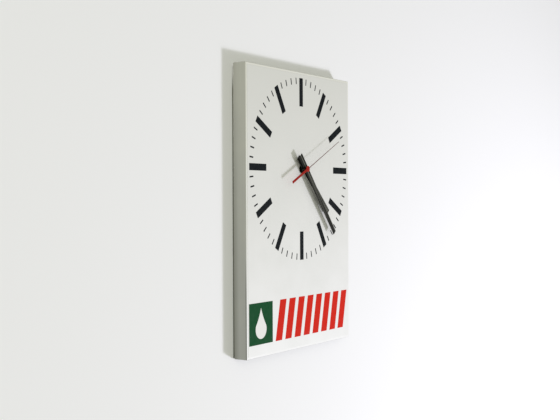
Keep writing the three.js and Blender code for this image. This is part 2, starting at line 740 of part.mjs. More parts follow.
// Leaf spring bent back on itself, pressing on the cell's flat end.
function contactMinus() {
  const wall = BOX_SIZE / 2 - BOX_WALL;
  const shape = polygon([
    [wall, CELL_Z - 6],
    [wall, CELL_Z + 6],
    [wall - CONTACT_THICK, CELL_Z + 6],
    [CELL_RIGHT, CELL_Z + 1.5],
    [CELL_RIGHT, CELL_Z - 1.5],
    [CELL_RIGHT + CONTACT_THICK, CELL_Z - 1.5],
    [CELL_RIGHT + CONTACT_THICK, CELL_Z + 1.3],
    [wall - CONTACT_THICK, CELL_Z + 5.2],
    [wall - CONTACT_THICK, CELL_Z - 6],
  ]);
  return slab(shape, inBox(CELL_AT - 4), inBox(CELL_AT + 4));
}

// ---- hands, drawn pointing at twelve about the hands' axis ----------------------------------

// A plain bar that narrows evenly from its tail to its square tip.
function bladeShape(tail, tip, tailWidth, tipWidth) {
  return polygon([
    [-tailWidth / 2, -tail],
    [tailWidth / 2, -tail],
    [tipWidth / 2, tip],
    [-tipWidth / 2, tip],
  ]);
}

function barHand(tail, tip, tailWidth, tipWidth, boreRadius, middleY) {
  const shape = bladeShape(tail, tip, tailWidth, tipWidth);
  shape.holes.push(circle(boreRadius));
  return slab(shape, middleY - BLADE_THICK / 2, middleY + BLADE_THICK / 2);
}

const COLLET_GRIP = 0.06;
const hourHand = () =>
  barHand(29.7, 115, 11.4, 10.6, HOUR_TUBE_RADIUS + COLLET_GRIP, HOUR_Y);
const minuteHand = () =>
  barHand(31, 155, 12.6, 10, MINUTE_ARBOR_RADIUS + COLLET_GRIP, MINUTE_Y);

function collet(boreRadius, outerRadius, length, bladeY) {
  const front = bladeY + BLADE_THICK / 2;
  return ring(boreRadius + COLLET_GRIP, outerRadius, front, front + length, CENTRE);
}

// Needle, hub disc and a broad tail cut in one piece.
function secondHand() {
  const hub = 5.4;
  const needle = [0.6, 0.4];
  const tailHalf = 2.35;
  const needleMeets = Math.asin(needle[0] / hub);
  const tailMeets = Math.asin(tailHalf / hub);
  const shape = new THREE.Shape();
  shape.moveTo(needle[1], 123.5);
  shape.lineTo(-needle[1], 123.5);
  shape.absarc(0, 0, hub, Math.PI / 2 + needleMeets, 1.5 * Math.PI - tailMeets);
  shape.lineTo(-tailHalf, -58);
  shape.lineTo(tailHalf, -58);
  shape.absarc(0, 0, hub, tailMeets - Math.PI / 2, Math.PI / 2 - needleMeets);
  const half = SECOND_BLADE_THICK / 2;
  return slab(shape, SECOND_Y - half, SECOND_Y + half, 12);
}

// Boss behind the second hand, with the short tube that grips its arbor.
function secondHub() {
  const front = SECOND_Y + SECOND_BLADE_THICK / 2;
  const bore = SECOND_ARBOR_RADIUS + COLLET_GRIP;
  const profile = [
    [bore, front],
    [5.1, front],
    [5.1, front + 1.2],
    [1.7, front + 1.2],
    [1.7, front + 2.2],
    [bore, front + 2.2],
    [bore, front],
  ];
  return turned(profile, CENTRE, 24);
}

// ---- assembly -------------------------------------------------------------------------------

const clock = new THREE.Group();

function place(parent, name, geometry, material) {
  const mesh = new THREE.Mesh(geometry, material);
  mesh.name = name;
  parent.add(mesh);
}

place(clock, "case_shell", caseShell(), lacquer);
place(clock, "face_sheet", faceSheet(), print);
place(clock, "hanger_rail", hangerRail(), zinc);
place(clock, "hanger_plate", hangerPlate(), zinc);
for (const [where, spot] of Object.entries(RIVET_SPOTS))
  place(clock, `rivet_${where}`, rivet(spot), zinc);

const bumperX = FACE_WIDTH / 2 - BUMPER_INSET;
for (const [row, z] of [["upper", TOP_Z - BUMPER_INSET], ["lower", BOTTOM_Z + BUMPER_INSET]])
  for (const [side, x] of [["left", -bumperX], ["right", bumperX]])
    place(clock, `bumper_${row}_${side}`, bumper([x, z]), rubber);

// Everything else is drawn about the hands' axis.
const works = new THREE.Group();
works.position.z = DIAL_Z;
clock.add(works);

place(works, "rubber_washer", rubberWasher(), rubber);
place(works, "brass_washer", brassWasher(), brass);
place(works, "mounting_nut", mountingNut(), brass);
place(works, "movement_housing", movementHousing(), housing);
place(works, "movement_cover", movementCover(), housing);
place(works, "mid_plate", midPlate(), nylon);
place(works, "train_bridge", trainBridge(), nylon);
place(works, "stator", stator(), steel);
place(works, "coil_core", coilCore(), steel);
place(works, "coil_bobbin", coilBobbin(), nylon);
place(works, "coil_winding", coilWinding(), copper);
place(works, "circuit_board", circuitBoard(), board);
place(works, "quartz_crystal", quartzCrystal(), steel);
place(works, "driver_chip", driverChip(), blackPaint);
place(works, "contact_plus", contactPlus(), steel);
place(works, "contact_minus", contactMinus(), steel);
place(works, "battery", cell(), cellWrap);

place(works, "rotor_pinion", rotorPinion(), nylon);
place(works, "rotor_magnet", rotorMagnet(), steel);
place(works, "intermediate_wheel", intermediateWheel(), nylon);
place(works, "second_wheel", secondWheel(), nylon);
place(works, "third_wheel", thirdWheel(), nylon);
place(works, "centre_wheel", centreWheel(), nylon);
place(works, "minute_arbor", minuteArbor(), brass);
place(works, "minute_wheel", minuteWheel(), nylon);
place(works, "hour_wheel", hourWheel(), nylon);
place(works, "setting_arbor", settingArbor(), nylon);
place(works, "setting_knob", settingKnob(), housing);

// A group for each hand, turned clockwise from twelve as you read the clock.
function handGroup(degrees) {
  const group = new THREE.Group();
  group.rotation.y = THREE.MathUtils.degToRad(degrees);
  works.add(group);
  return group;
}

const hourGroup = handGroup(HOUR_ANGLE);
place(hourGroup, "hour_hand", hourHand(), blackPaint);
const hourCollet = collet(HOUR_TUBE_RADIUS, 4.2, 2.4, HOUR_Y);
place(hourGroup, "hour_hand_collet", hourCollet, blackPaint);

const minuteGroup = handGroup(MINUTE_ANGLE);
place(minuteGroup, "minute_hand", minuteHand(), blackPaint);
const minuteCollet = collet(MINUTE_ARBOR_RADIUS, 3.4, 2.3, MINUTE_Y);
place(minuteGroup, "minute_hand_collet", minuteCollet, blackPaint);

const secondGroup = handGroup(SECOND_ANGLE);
place(secondGroup, "second_hand", secondHand(), redPaint);
place(secondGroup, "second_hand_hub", secondHub(), redPaint);

export default clock;
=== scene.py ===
"""Builds the visual model of a wall-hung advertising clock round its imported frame.

Shapes are drawn in millimetres in the frame's axes: X to the right as the dial is read, Y into the
wall, Z up. Each piece is scaled to metres when it is made.
"""
import json
import math

import bmesh
import bpy
from bpy.props import (
    FloatProperty,
    FloatVectorProperty,
    IntProperty,
    PointerProperty,
)
from mathutils import Matrix, Vector


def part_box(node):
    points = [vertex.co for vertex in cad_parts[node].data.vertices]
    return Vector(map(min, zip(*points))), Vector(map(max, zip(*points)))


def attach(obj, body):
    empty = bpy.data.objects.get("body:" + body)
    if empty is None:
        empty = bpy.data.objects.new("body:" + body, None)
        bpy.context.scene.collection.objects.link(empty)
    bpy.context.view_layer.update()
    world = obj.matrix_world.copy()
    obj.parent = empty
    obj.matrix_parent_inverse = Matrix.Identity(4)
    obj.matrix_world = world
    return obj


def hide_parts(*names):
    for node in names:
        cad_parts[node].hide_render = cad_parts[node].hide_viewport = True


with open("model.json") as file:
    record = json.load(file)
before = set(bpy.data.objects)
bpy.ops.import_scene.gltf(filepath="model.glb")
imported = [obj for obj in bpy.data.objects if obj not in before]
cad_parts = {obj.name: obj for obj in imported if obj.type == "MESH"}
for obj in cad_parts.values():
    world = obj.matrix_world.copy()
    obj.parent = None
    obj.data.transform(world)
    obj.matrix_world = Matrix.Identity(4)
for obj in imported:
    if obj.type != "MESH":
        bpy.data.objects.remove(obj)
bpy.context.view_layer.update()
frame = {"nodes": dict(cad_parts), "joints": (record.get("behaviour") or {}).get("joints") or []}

bl_info = {
    "name": "Station clock",
    "version": (1, 0, 0),
    "blender": (4, 5, 0),
    "location": "View3D > Sidebar > Station clock",
    "description": "Builds a wall-hung advertising clock piece by piece round its packed frame",
    "category": "Object",
}

MM = 0.001  # one millimetre in metres
PANEL_AREA = 400.0  # a face larger than this, in square millimetres, is a flat panel
SAME_POINT = 0.0004  # corners closer than this, in millimetres, are one
CREASE = math.radians(32.0)  # an edge that turns more than this stays sharp
EDGE_STEPS = 3  # facets round a plate's rounded edge
FOLD_STEPS = 6  # facets round a fold of the case
CORNER_STEPS = 6  # facets round a rectangle's corner
POST_HOLE = 4.1  # radius of the holes that the movement's post goes through
INK_SINK = 0.02  # how far ink reaches into the sheet, so that no gap shows
CORNERS = ("upper_left", "lower_left", "upper_right", "lower_right")
JOINTS = {joint["name"]: joint for joint in frame["joints"]}


def node_box(node):
    """A CAD node's lowest and highest corner, in millimetres."""
    low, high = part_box(node)
    return low / MM, high / MM


def joint_axis(name):
    """Where a joint's axis passes through the XZ plane, in millimetres."""
    x, _, z = JOINTS[name]["pos_m"]
    return x / MM, z / MM


CASE_LOW, CASE_HIGH = node_box("case_shell")
SHEET_LOW, SHEET_HIGH = node_box("face_sheet")
DIAL_X, DIAL_Z = joint_axis("minute_hand_turn")
FACE_Y = SHEET_LOW.y  # the printed surface

# The angles, in degrees clockwise from twelve, at which the frame holds the hands.
HOUR_ANGLE = 133.5
MINUTE_ANGLE = 139.7
SECOND_ANGLE = 63.9

# Places on the stage are in metres from the middle of the printed face.
STAGE_REACH = 6.0  # how far the wall and the floor run each way
KEY_WAY = Vector((0.62, -0.66, -0.43))
KEY_DISTANCE = 3.0
FILL_PLACE = Vector((-2.2, -2.2, 0.5))
BACK_PLACE = Vector((0.9, 2.6, 1.2))
COOL, WARM, WHITE = (0.88, 0.87, 1.0), (0.99, 1.0, 0.895), (1.0, 1.0, 1.0)
CAMERA_PLACE = Vector((-1.53585, -0.9654, 0.0141))
CAMERA_TURN = (56.608, -0.437, -0.263)  # yaw, pitch and roll in degrees


# ---- colours and settings -------------------------------------------------------------------


def linear(hex_colour):
    """An sRGB hex colour as linear red, green and blue."""
    channels = [int(hex_colour[i : i + 2], 16) / 255 for i in (1, 3, 5)]
    return tuple(c / 12.92 if c <= 0.04045 else ((c + 0.055) / 1.055) ** 2.4 for c in channels)


def colour_property(name, description, hex_colour):
    return FloatVectorProperty(
        name=name,
        description=description,
        subtype="COLOR",
        size=3,
        min=0.0,
        max=1.0,
        default=linear(hex_colour),
    )


def length_property(name, description, millimetres, least=0.0):
    return FloatProperty(
        name=name,
        description=description,
        unit="LENGTH",
        default=millimetres * MM,
        min=least * MM,
        precision=5,
    )


class CaseSettings(bpy.types.PropertyGroup):
    """The folded steel case."""

    # Painted shade: the sides' two lacquers are the front's white lacquer darkened, and from foot
    # to top they turn lighter and yellower as painted light.
    lacquer: colour_property("Lacquer", "Stoved lacquer at the foot of the sides", "#C2C3C1")
    lacquer_top_painted_light: colour_property("Top lacquer, painted light", "Lacquer at the top of the sides, lighter and yellower as painted light", "#D7D7CF")
    # Painted shade: the front's lacquer runs darker towards its top.
    front_top_painted_shade: colour_property("Front lacquer at the top", "Lacquer round the front at its top, darker as painted shade", "#E6E6DC")
    fold: length_property("Front fold", "Outside radius of the fold round the front", 1.6, 0.9)
    rear_fold: length_property("Rear fold", "Outside radius of the fold into the lip", 1.2, 0.9)
    corner: length_property("Corner", "Radius of the four ground corners", 1.1, 0.2)
    sheet: length_property("Sheet", "Thickness of the steel sheet", 0.8, 0.4)
    lip: length_property("Lip", "Width of the lip round the open back", 12.0, 4.0)


class DialSettings(bpy.types.PropertyGroup):
    """The printed face."""

    white: colour_property("Face", "White ground at the foot of the sheet", "#F3F3F1")
    # Painted shade: the face's white runs darker towards its top.
    white_top_painted_shade: colour_property("Top of face, painted shade", "White ground at the top of the sheet", "#DEDED7")
    ink: colour_property("Ink", "Dial ink", "#0C1216")
    outer: length_property("Outer radius", "Outer end of every mark", 164.6, 60)
    inner: length_property("Inner radius", "Inner end of the hour batons", 113.3, 20)
    baton: length_property("Baton width", "Width of an hour baton", 12.0, 2)
    tick: length_property("Tick length", "Length of a minute tick", 11.3, 2)
    tick_width: length_property("Tick width", "Width of a minute tick", 2.6, 0.3)
    film: length_property("Film", "Height of the ink above the sheet", 0.05, 0.02)


class MarkSettings(bpy.types.PropertyGroup):
    """The plain colour marks across the foot of the face."""

    green: colour_property("Green", "Square's ink", "#004A23")
    red: colour_property("Red", "Bars' ink", "#D41C00")
    white: colour_property("White", "Drop's ink", "#F0F0EC")
    square: length_property("Square", "Side of the green square", 71.4, 10)
    square_left: length_property("Square's place", "From the case's left edge", 6.4, 4)
    foot: length_property("Foot", "From the case's lower edge to the marks", 22.0, 4)
    bars_left: length_property("Bars' place", "From the case's left edge", 86.5, 20)
    bars_width: length_property("Bars' run", "From the first bar to the last one's end", 250.0, 20)
    bar: length_property("Bar", "Width of one bar", 20.5, 2)
    bars: IntProperty(name="Bars", description="How many bars", default=8, min=2, max=20)
    slant: FloatProperty(
        name="Slant",
        description="Lean of the bars",
        subtype="ANGLE",
        default=math.radians(12),
    )


class HandSettings(bpy.types.PropertyGroup):
    """The three hands."""

    black: colour_property("Black", "Lacquer of the hour and minute hands", "#121310")
    red: colour_property("Red", "Lacquer of the second hand", "#981103")
    # Painted shade: the needle's lacquer is the second hand's red darkened, as the thin needle is
    # seen on its shaded side.
    needle: colour_property("Needle", "Lacquer of the second hand's needle", "#5A1612")
    edge: length_property("Edge", "Radius rolled over at a blade's edges", 0.16, 0.02)


class MovementSettings(bpy.types.PropertyGroup):
    """The battery movement and what fastens it."""

    black: colour_property("Box", "Moulded box and cover", "#232426")
    natural: colour_property("Natural", "Undyed mouldings", "#E8E4D8")
    wrap: colour_property("Wrap", "Cell's foil wrap", "#33415E")
    band: colour_property("Band", "Band at the cell's positive end", "#C9CCD0")
    ribs: IntProperty(name="Ribs", description="Grip ribs on the knob", default=20, min=8, max=40)


class StageSettings(bpy.types.PropertyGroup):
    """Wall, floor, lights and camera."""

    wall: colour_property("Wall", "Painted wall", "#F6F6F6")
    floor: colour_property("Floor", "Studio floor", "#F2F2F0")
    drop: length_property("Floor's drop", "From the case's lower edge to the floor", 650, 50)
    lens: FloatProperty(name="Lens", description="Focal length in millimetres", default=64.25)
    key: FloatProperty(
        name="Key light", description="Power of the key light", unit="POWER", default=59.5
    )
    fill: FloatProperty(
        name="Fill light", description="Power of the broad left light", unit="POWER", default=20.0
    )
    back: FloatProperty(
        name="Back light", description="Power of the light behind", unit="POWER", default=45.0
    )
    sky: FloatProperty(name="Sky", description="Strength of the light all round", default=0.43)


class ClockSettings(bpy.types.PropertyGroup):
    """Every size and colour that a user may change."""

    case: PointerProperty(type=CaseSettings, name="Case", description="Folded steel case")
    dial: PointerProperty(type=DialSettings, name="Dial", description="Printed face")
    mark: PointerProperty(type=MarkSettings, name="Marks", description="Colour marks")
    hands: PointerProperty(type=HandSettings, name="Hands", description="The three hands")
    movement: PointerProperty(type=MovementSettings, name="Movement", description="Movement")
    stage: PointerProperty(type=StageSettings, name="Stage", description="Wall and light")


# ---- shapes in the XZ plane -----------------------------------------------------------------


def circle(radius, centre=(0.0, 0.0), count=48):
    x, z = centre
    angles = [2 * math.pi * i / count for i in range(count)]
    return [(x + radius * math.cos(a), z + radius * math.sin(a)) for a in angles]


def arc(centre, radius, start, end, count):
    """Points on an arc, with both of its ends; the angles are in degrees."""
    x, z = centre
    angles = [math.radians(start + (end - start) * i / count) for i in range(count + 1)]
    return [(x + radius * math.cos(a), z + radius * math.sin(a)) for a in angles]


def rounded_rectangle(left, bottom, right, top, radius):
    corners = [
        ((right - radius, bottom + radius), 270),
        ((right - radius, top - radius), 0),
        ((left + radius, top - radius), 90),
        ((left + radius, bottom + radius), 180),
    ]
    arcs = [arc(centre, radius, start, start + 90, CORNER_STEPS) for centre, start in corners]
    return [point for points in arcs for point in points]


def turned_outline(points, degrees, centre=(0.0, 0.0)):
    """An outline drawn upright about the origin, turned clockwise and moved to its centre."""
    angle = math.radians(degrees)
    sine, cosine = math.sin(angle), math.cos(angle)
    x0, z0 = centre
    return [(x0 + x * cosine + z * sine, z0 - x * sine + z * cosine) for x, z in points]


def offset_left(points, distance):
    """The closed outline moved to the left of its direction of travel."""
    moved = []
    for i, (x, z) in enumerate(points):
        before, after = points[i - 1], points[(i + 1) % len(points)]
        first = Vector((x - before[0], z - before[1])).normalized()
        second = Vector((after[0] - x, after[1] - z)).normalized()
        normal = Vector((-first.y - second.y, first.x + second.x))
        normal /= max(0.2, 1 + first.dot(second))
        moved.append((x + normal.x * distance, z + normal.y * distance))
    return moved


def travelled(points, anticlockwise):
    area = sum(
        points[i - 1][0] * z - x * points[i - 1][1] for i, (x, z) in enumerate(points)
    )
    return list(points) if (area > 0) == anticlockwise else list(reversed(points))


# ---- solids ---------------------------------------------------------------------------------


def add_ring(bm, points, y):
    return [bm.verts.new((x, y, z)) for x, z in points]


def bridge(bm, rings, closed=False):
    """Joins rings of equal count with quads, one after the other."""
    pairs = list(zip(rings, rings[1:]))
    if closed:
        pairs.append((rings[-1], rings[0]))
    for one, other in pairs:
        for i in range(len(one)):
            bm.faces.new((one[i - 1], one[i], other[i], other[i - 1]))


def fill(bm, rings):
    """Fills the flat area between an outline and its holes."""
    edges = [bm.edges.get((ring[i - 1], ring[i])) for ring in rings for i in range(len(ring))]
    bmesh.ops.triangle_fill(bm, edges=edges, use_beauty=True)


def quarter_turn(steps):
    """(sine, cosine) pairs from 0 to 90 degrees."""
    angles = [math.pi / 2 * step / steps for step in range(steps + 1)]
    return [(math.sin(angle), math.cos(angle)) for angle in angles]


def rounded_profile(rear, front, rear_edge, front_edge):
    """(inset, y) pairs down a plate's edge, from its rear face to its front face."""
    turn = quarter_turn(EDGE_STEPS)
    profile = [(rear_edge * (1 - s), rear - rear_edge * (1 - c)) for s, c in turn]
    if rear_edge == 0:
        profile = [(0.0, rear)]
    if front_edge == 0:
        return [*profile, (0.0, front)]
    return profile + [(front_edge * (1 - c), front + front_edge * (1 - s)) for s, c in turn]


def add_plate(bm, outline, rear, front, holes=(), rear_edge=0.0, front_edge=0.0):
    """A flat plate from y = rear forward to y = front, with rounded edges round every outline."""
    profile = rounded_profile(rear, front, rear_edge, front_edge)
    rear_rings, front_rings = [], []
    loops = [travelled(outline, True)] + [travelled(hole, False) for hole in holes]
    for loop in loops:
        rings = [add_ring(bm, offset_left(loop, inset), y) for inset, y in profile]
        bridge(bm, rings)
        rear_rings.append(rings[0])
        front_rings.append(rings[-1])
    fill(bm, rear_rings)
    fill(bm, front_rings)


def add_turned(bm, profile, centre=(0.0, 0.0), count=48, closed=False):
    """A piece turned about +Y from (radius, y) pairs; a radius of 0 closes an end."""
    rings = []
    for radius, y in profile:
        if radius > 0:
            rings.append(add_ring(bm, circle(radius, centre, count), y))
        else:
            rings.append([bm.verts.new((centre[0], y, centre[1]))])
    pairs = list(zip(rings, rings[1:]))
    if closed:
        pairs.append((rings[-1], rings[0]))
    for one, other in pairs:
        for i in range(count):
            corners = [one[(i - 1) % len(one)], one[i % len(one)]]
            corners += [other[i % len(other)], other[(i - 1) % len(other)]]
            bm.faces.new(list(dict.fromkeys(corners)))


def add_piece(name, bm, materials, body, stands_for=()):
    """Makes a piece in metres from a mesh in millimetres, and lets it ride on its body."""
    if not bm.faces:
        raise RuntimeError(f"{name} has no faces")
    bmesh.ops.remove_doubles(bm, verts=bm.verts, dist=SAME_POINT)
    bmesh.ops.recalc_face_normals(bm, faces=bm.faces)
    bm.normal_update()
    for face in bm.faces:
        # Flat ends and large panels stay flat, so no shading runs in from their rounded edges.
        face.smooth = abs(face.normal.y) < 0.9999 and face.calc_area() < PANEL_AREA
    for edge in bm.edges:
        edge.smooth = edge.calc_face_angle(0.0) < CREASE
    bmesh.ops.scale(bm, vec=(MM, MM, MM), verts=bm.verts)
    mesh = bpy.data.meshes.new(name)
    bm.to_mesh(mesh)
    bm.free()
    for material in materials:
        mesh.materials.append(material)
    piece = bpy.data.objects.new(name, mesh)
    bpy.context.scene.collection.objects.link(piece)
    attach(piece, body)
    if stands_for:
        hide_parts(*stands_for)
    return piece


def finish_node(node, material):
    """Gives a CAD node that keeps its own shape its finish."""
    piece = frame["nodes"][node]
    piece.data.materials.clear()
    piece.data.materials.append(material)


# ---- materials ------------------------------------------------------------------------------

METAL = {"Metallic": 1.0}
NOISE_LOW, NOISE_HIGH = 0.3, 0.7  # noise hardly ever leaves this span
WAVES = 2 * math.pi / 20  # a wave texture runs through 20 radians for each unit of its scale


def add_node(tree, kind, settings=None, inputs=None):
    """Adds a node; an input is a value, or the socket that feeds it."""
    node = tree.nodes.new(kind)
    for name, value in (settings or {}).items():
        setattr(node, name, value)
    for name, value in (inputs or {}).items():
        if isinstance(value, bpy.types.NodeSocket):
            tree.links.new(value, node.inputs[name])
        else:
            node.inputs[name].default_value = value
    return node


def per_metre(millimetres):
    """The texture scale that makes one feature this many millimetres across."""
    return 1000.0 / millimetres


def opaque(colour):
    """An sRGB hex colour, or a setting that is linear already, as a socket takes it."""
    channels = linear(colour) if isinstance(colour, str) else colour[:3]
    return (*channels, 1.0)


class Finish:
    """A material in the making: its tree, its shader and its coordinates in metres."""

    def __init__(self, name, colour, roughness, values):
        self.material = bpy.data.materials.get(name) or bpy.data.materials.new(name)
        self.material.use_nodes = True
        self.tree = self.material.node_tree
        self.tree.nodes.clear()
        plain = {"Base Color": opaque(colour), "Roughness": roughness, **values}
        self.shader = self.node("ShaderNodeBsdfPrincipled", inputs=plain)
        surface = {"Surface": self.shader.outputs["BSDF"]}
        self.output = self.node("ShaderNodeOutputMaterial", inputs=surface)
        self.place = self.node("ShaderNodeTexCoord").outputs["Object"]

    def node(self, kind, settings=None, inputs=None):
        return add_node(self.tree, kind, settings, inputs)

    def axis(self, name):
        """How far along one of the frame's axes, in metres."""
        return self.node("ShaderNodeSeparateXYZ", inputs={"Vector": self.place}).outputs[name]

    def grain(self, size, detail=3.0, stretch=(1, 1, 1), turn=0.0):
        """Noise whose features are size millimetres across, drawn out where stretch is small."""
        inputs = {"Vector": self.place, "Rotation": (0, turn, 0)}
        turned = self.node("ShaderNodeMapping", inputs=inputs)
        inputs = {"Vector": turned.outputs["Vector"], "Scale": stretch}
        drawn = self.node("ShaderNodeMapping", inputs=inputs)
        inputs = {"Vector": drawn.outputs["Vector"], "Scale": per_metre(size), "Detail": detail}
        return self.node("ShaderNodeTexNoise", inputs=inputs).outputs["Fac"]

    def span(self, value, low, high, to_low=0.0, to_high=1.0):
        """The span from low to high laid on another one, and held to its ends."""
        inputs = {"Value": value, "From Min": low, "From Max": high}
        inputs |= {"To Min": to_low, "To Max": to_high}
        return self.node("ShaderNodeMapRange", {"clamp": True}, inputs).outputs["Result"]

    def spread(self, noise, low, high):
        """Noise that runs from low to high."""
        return self.span(noise, NOISE_LOW, NOISE_HIGH, low, high)

    def maths(self, operation, one, other):
        settings = {"operation": operation, "use_clamp": True}
        return self.node("ShaderNodeMath", settings, {0: one, 1: other}).outputs[0]

    def blend(self, factor, one, other):
        """One colour where the factor is 0 and the other where it is 1."""
        inputs = {0: factor}
        for index, colour in ((6, one), (7, other)):
            made = isinstance(colour, bpy.types.NodeSocket)
            inputs[index] = colour if made else opaque(colour)
        return self.node("ShaderNodeMix", {"data_type": "RGBA"}, inputs).outputs[2]

    def relief(self, *layers):
        """Bumps one on another; each layer is (height texture, its height in millimetres)."""
        normal = None
        for height, millimetres in layers:
            inputs = {"Height": height, "Distance": millimetres * MM, "Strength": 1.0}
            if normal is not None:
                inputs["Normal"] = normal
            normal = self.node("ShaderNodeBump", inputs=inputs).outputs["Normal"]
        self.tree.links.new(normal, self.shader.inputs["Normal"])

    def feed(self, colour=None, roughness=None):
        for name, value in (("Base Color", colour), ("Roughness", roughness)):
            if value is not None:
                self.tree.links.new(value, self.shader.inputs[name])


def stoved_lacquer(name, foot, top, streaks_and_shade):
    # Satin stoved lacquer: a broad soft sheen with faint orange peel about 3 mm across, and a few
    # fine dark specks. From foot to top the colour turns lighter and yellower on the sides, which
    # is painted light, and darker on the front, which is painted shade.
    coat = Finish(name, foot, 0.42, {"IOR": 1.5})
    # Painted light: the colour runs from the foot colour to the top colour up the case.
    rise = coat.span(coat.axis("Z"), CASE_LOW.z * MM, CASE_HIGH.z * MM)
    drift = coat.span(coat.grain(70.0, 4.0), 0.35, 0.65, -0.18, 0.18)
    colour = coat.blend(coat.maths("ADD", rise, drift), foot, top)
    # Specks are 0.3 mm in life and drawn at 0.8 mm, or none would show.
    speck = coat.span(coat.grain(0.8, 1.0), 0.76, 0.80, 0.0, 0.5)
    colour = coat.blend(speck, colour, "#7C7A6C")
    if streaks_and_shade:
        # Cloths leave streaks up the sides, 4 mm apart. Painted shade darkens the sides towards the
        # wall and towards the foot, and lays a thin dark line in the front fold's lower third.
        streaks = coat.grain(4.0, 3.0, (1, 1, 0.015))
        colour = coat.blend(coat.spread(streaks, 0.0, 0.12), colour, "#A3A497")
        # Painted shade: darker within 12 mm of the wall, more so towards the foot.
        wall_shade = coat.span(coat.axis("Y"), (CASE_HIGH.y - 12) * MM, CASE_HIGH.y * MM)
        lower = coat.span(coat.axis("Z"), CASE_LOW.z * MM, CASE_HIGH.z * MM, 0.65, 0.25)
        colour = coat.blend(coat.maths("MULTIPLY", wall_shade, lower), colour, "#7B7C72")
        # Painted shade: a thin dark line in the front fold, over its lower third.
        fold = (CASE_LOW.y + 0.5) * MM
        in_fold = coat.span(coat.axis("Y"), fold + 0.8 * MM, fold + 1.5 * MM, 1.0, 0.0)
        whole_below, gone_above = -0.345, -0.285
        third = coat.span(coat.axis("Z"), whole_below, gone_above, 1.0, 0.0)
        sideways = coat.maths("ABSOLUTE", coat.axis("X"), 0.0)
        outside = coat.span(sideways, (CASE_HIGH.x - 1.0) * MM, (CASE_HIGH.x - 0.4) * MM)
        line = coat.maths("MULTIPLY", coat.maths("MULTIPLY", in_fold, third), outside)
        colour = coat.blend(line, colour, "#55554F")
    coat.feed(colour, coat.spread(coat.grain(25.0), 0.38, 0.47))
    coat.relief((coat.grain(90.0, 1.0), 0.5), (coat.grain(3.0, 2.0), 0.012))
    return coat.material


def white_screen_ground_on_sheet(settings):
    # Flat printed white on thin sheet: even, a little duller than the lacquer round it, with
    # very faint handling clouds and a fine roller texture.
    ground = Finish("white_screen_ground_on_sheet", settings.white, 0.4, {"IOR": 1.48})
    # Painted shade: the white runs darker from the foot of the sheet to its top.
    rise = ground.span(ground.axis("Z"), SHEET_LOW.z * MM, SHEET_HIGH.z * MM)
    colour = ground.blend(rise, settings.white, settings.white_top_painted_shade)
    cloud = ground.spread(ground.grain(55.0, 5.0), 0.0, 0.3)
    colour = ground.blend(cloud, colour, "#DEDFDA")
    speck = ground.span(ground.grain(1.1, 1.0), 0.77, 0.81, 0.0, 0.3)
    colour = ground.blend(speck, colour, "#A5A59C")
    ground.feed(colour, ground.spread(ground.grain(30.0), 0.37, 0.45))
    # The roller leaves marks 0.3 mm across, drawn at 1.2 mm.
    ground.relief((ground.grain(110.0, 1.0), 0.35), (ground.grain(1.2, 2.0), 0.004))
    return ground.material


def screen_ink(name, colour):
    # Ink laid down through a mesh: flat and matt, with a barely uneven depth of colour. The
    # mesh's 0.1 mm dots are drawn at 0.6 mm.
    ink = Finish(name, colour, 0.6, {"IOR": 1.5, "Specular IOR Level": 0.06})
    uneven = ink.spread(ink.grain(9.0), 0.0, 0.03)
    ink.feed(ink.blend(uneven, colour, "#8A8F8E"), ink.spread(ink.grain(6.0), 0.55, 0.68))
    ink.relief((ink.grain(0.6, 1.0), 0.003))
    return ink.material


def lacquer_on_stamped_aluminium(name, colour, streak, degrees):
    # Lacquer over rolled strip, dulled by weather. Pale streaks along the blade are painted
    # highlights standing in for its sheen, laid on the pattern of the strip's rolling grain, whose
    # lines also give the bump. Rolling lines are 0.1 mm apart and drawn 2 mm apart.
    blade = Finish(name, colour, 0.4, {"IOR": 1.5, "Specular IOR Level": 0.15})
    lines = blade.grain(2.0, 1.0, (1, 1, 0.012), -math.radians(degrees))
    # Painted highlight: pale streaks along the blade.
    tint = blade.blend(blade.span(lines, 0.49, 0.62, 0.0, 0.9), colour, streak)
    blade.feed(tint, blade.spread(blade.grain(7.0), 0.34, 0.48))
    blade.relief((lines, 0.01), (blade.grain(1.4, 1.0), 0.003))
    return blade.material


def zinc_plated_pressed_steel():
    # Bright zinc over strip steel: a grey mirror broken up by rolling lines along the strip,
    # with the cloudy blue and straw tints of its passivation.
    zinc = Finish("zinc_plated_pressed_steel", "#B9BDBF", 0.36, METAL)
    cloud = zinc.span(zinc.grain(14.0, 4.0), 0.35, 0.65)
    # Rolling lines 0.1 mm apart are drawn 0.4 mm apart.
    lines = zinc.grain(0.4, 2.0, (0.02, 1, 1))
    zinc.feed(zinc.blend(cloud, "#B3B8BC", "#BAB9B1"), zinc.spread(lines, 0.28, 0.46))
    zinc.relief((lines, 0.006))
    return zinc.material


def tumbled_aluminium():
    # Rivets tumbled after heading: soft, slightly pitted silver.
    rivet = Finish("tumbled_aluminium", "#C3C4C6", 0.42, METAL)
    dents = rivet.grain(0.7, 2.0)
    rivet.feed(roughness=rivet.spread(dents, 0.34, 0.5))
    rivet.relief((dents, 0.02))
    return rivet.material


def moulded_black_rubber():
    # Nitrile rubber: dull, with a grey bloom and dust in its fine texture.
    rubber = Finish("moulded_black_rubber", "#1E1E1E", 0.85, {"IOR": 1.52})
    bloom = rubber.span(rubber.grain(2.5, 4.0), 0.4, 0.75)
    rubber.feed(rubber.blend(bloom, "#1B1B1B", "#3B3A37"))
    rubber.relief((rubber.grain(0.4, 2.0), 0.02))
    return rubber.material


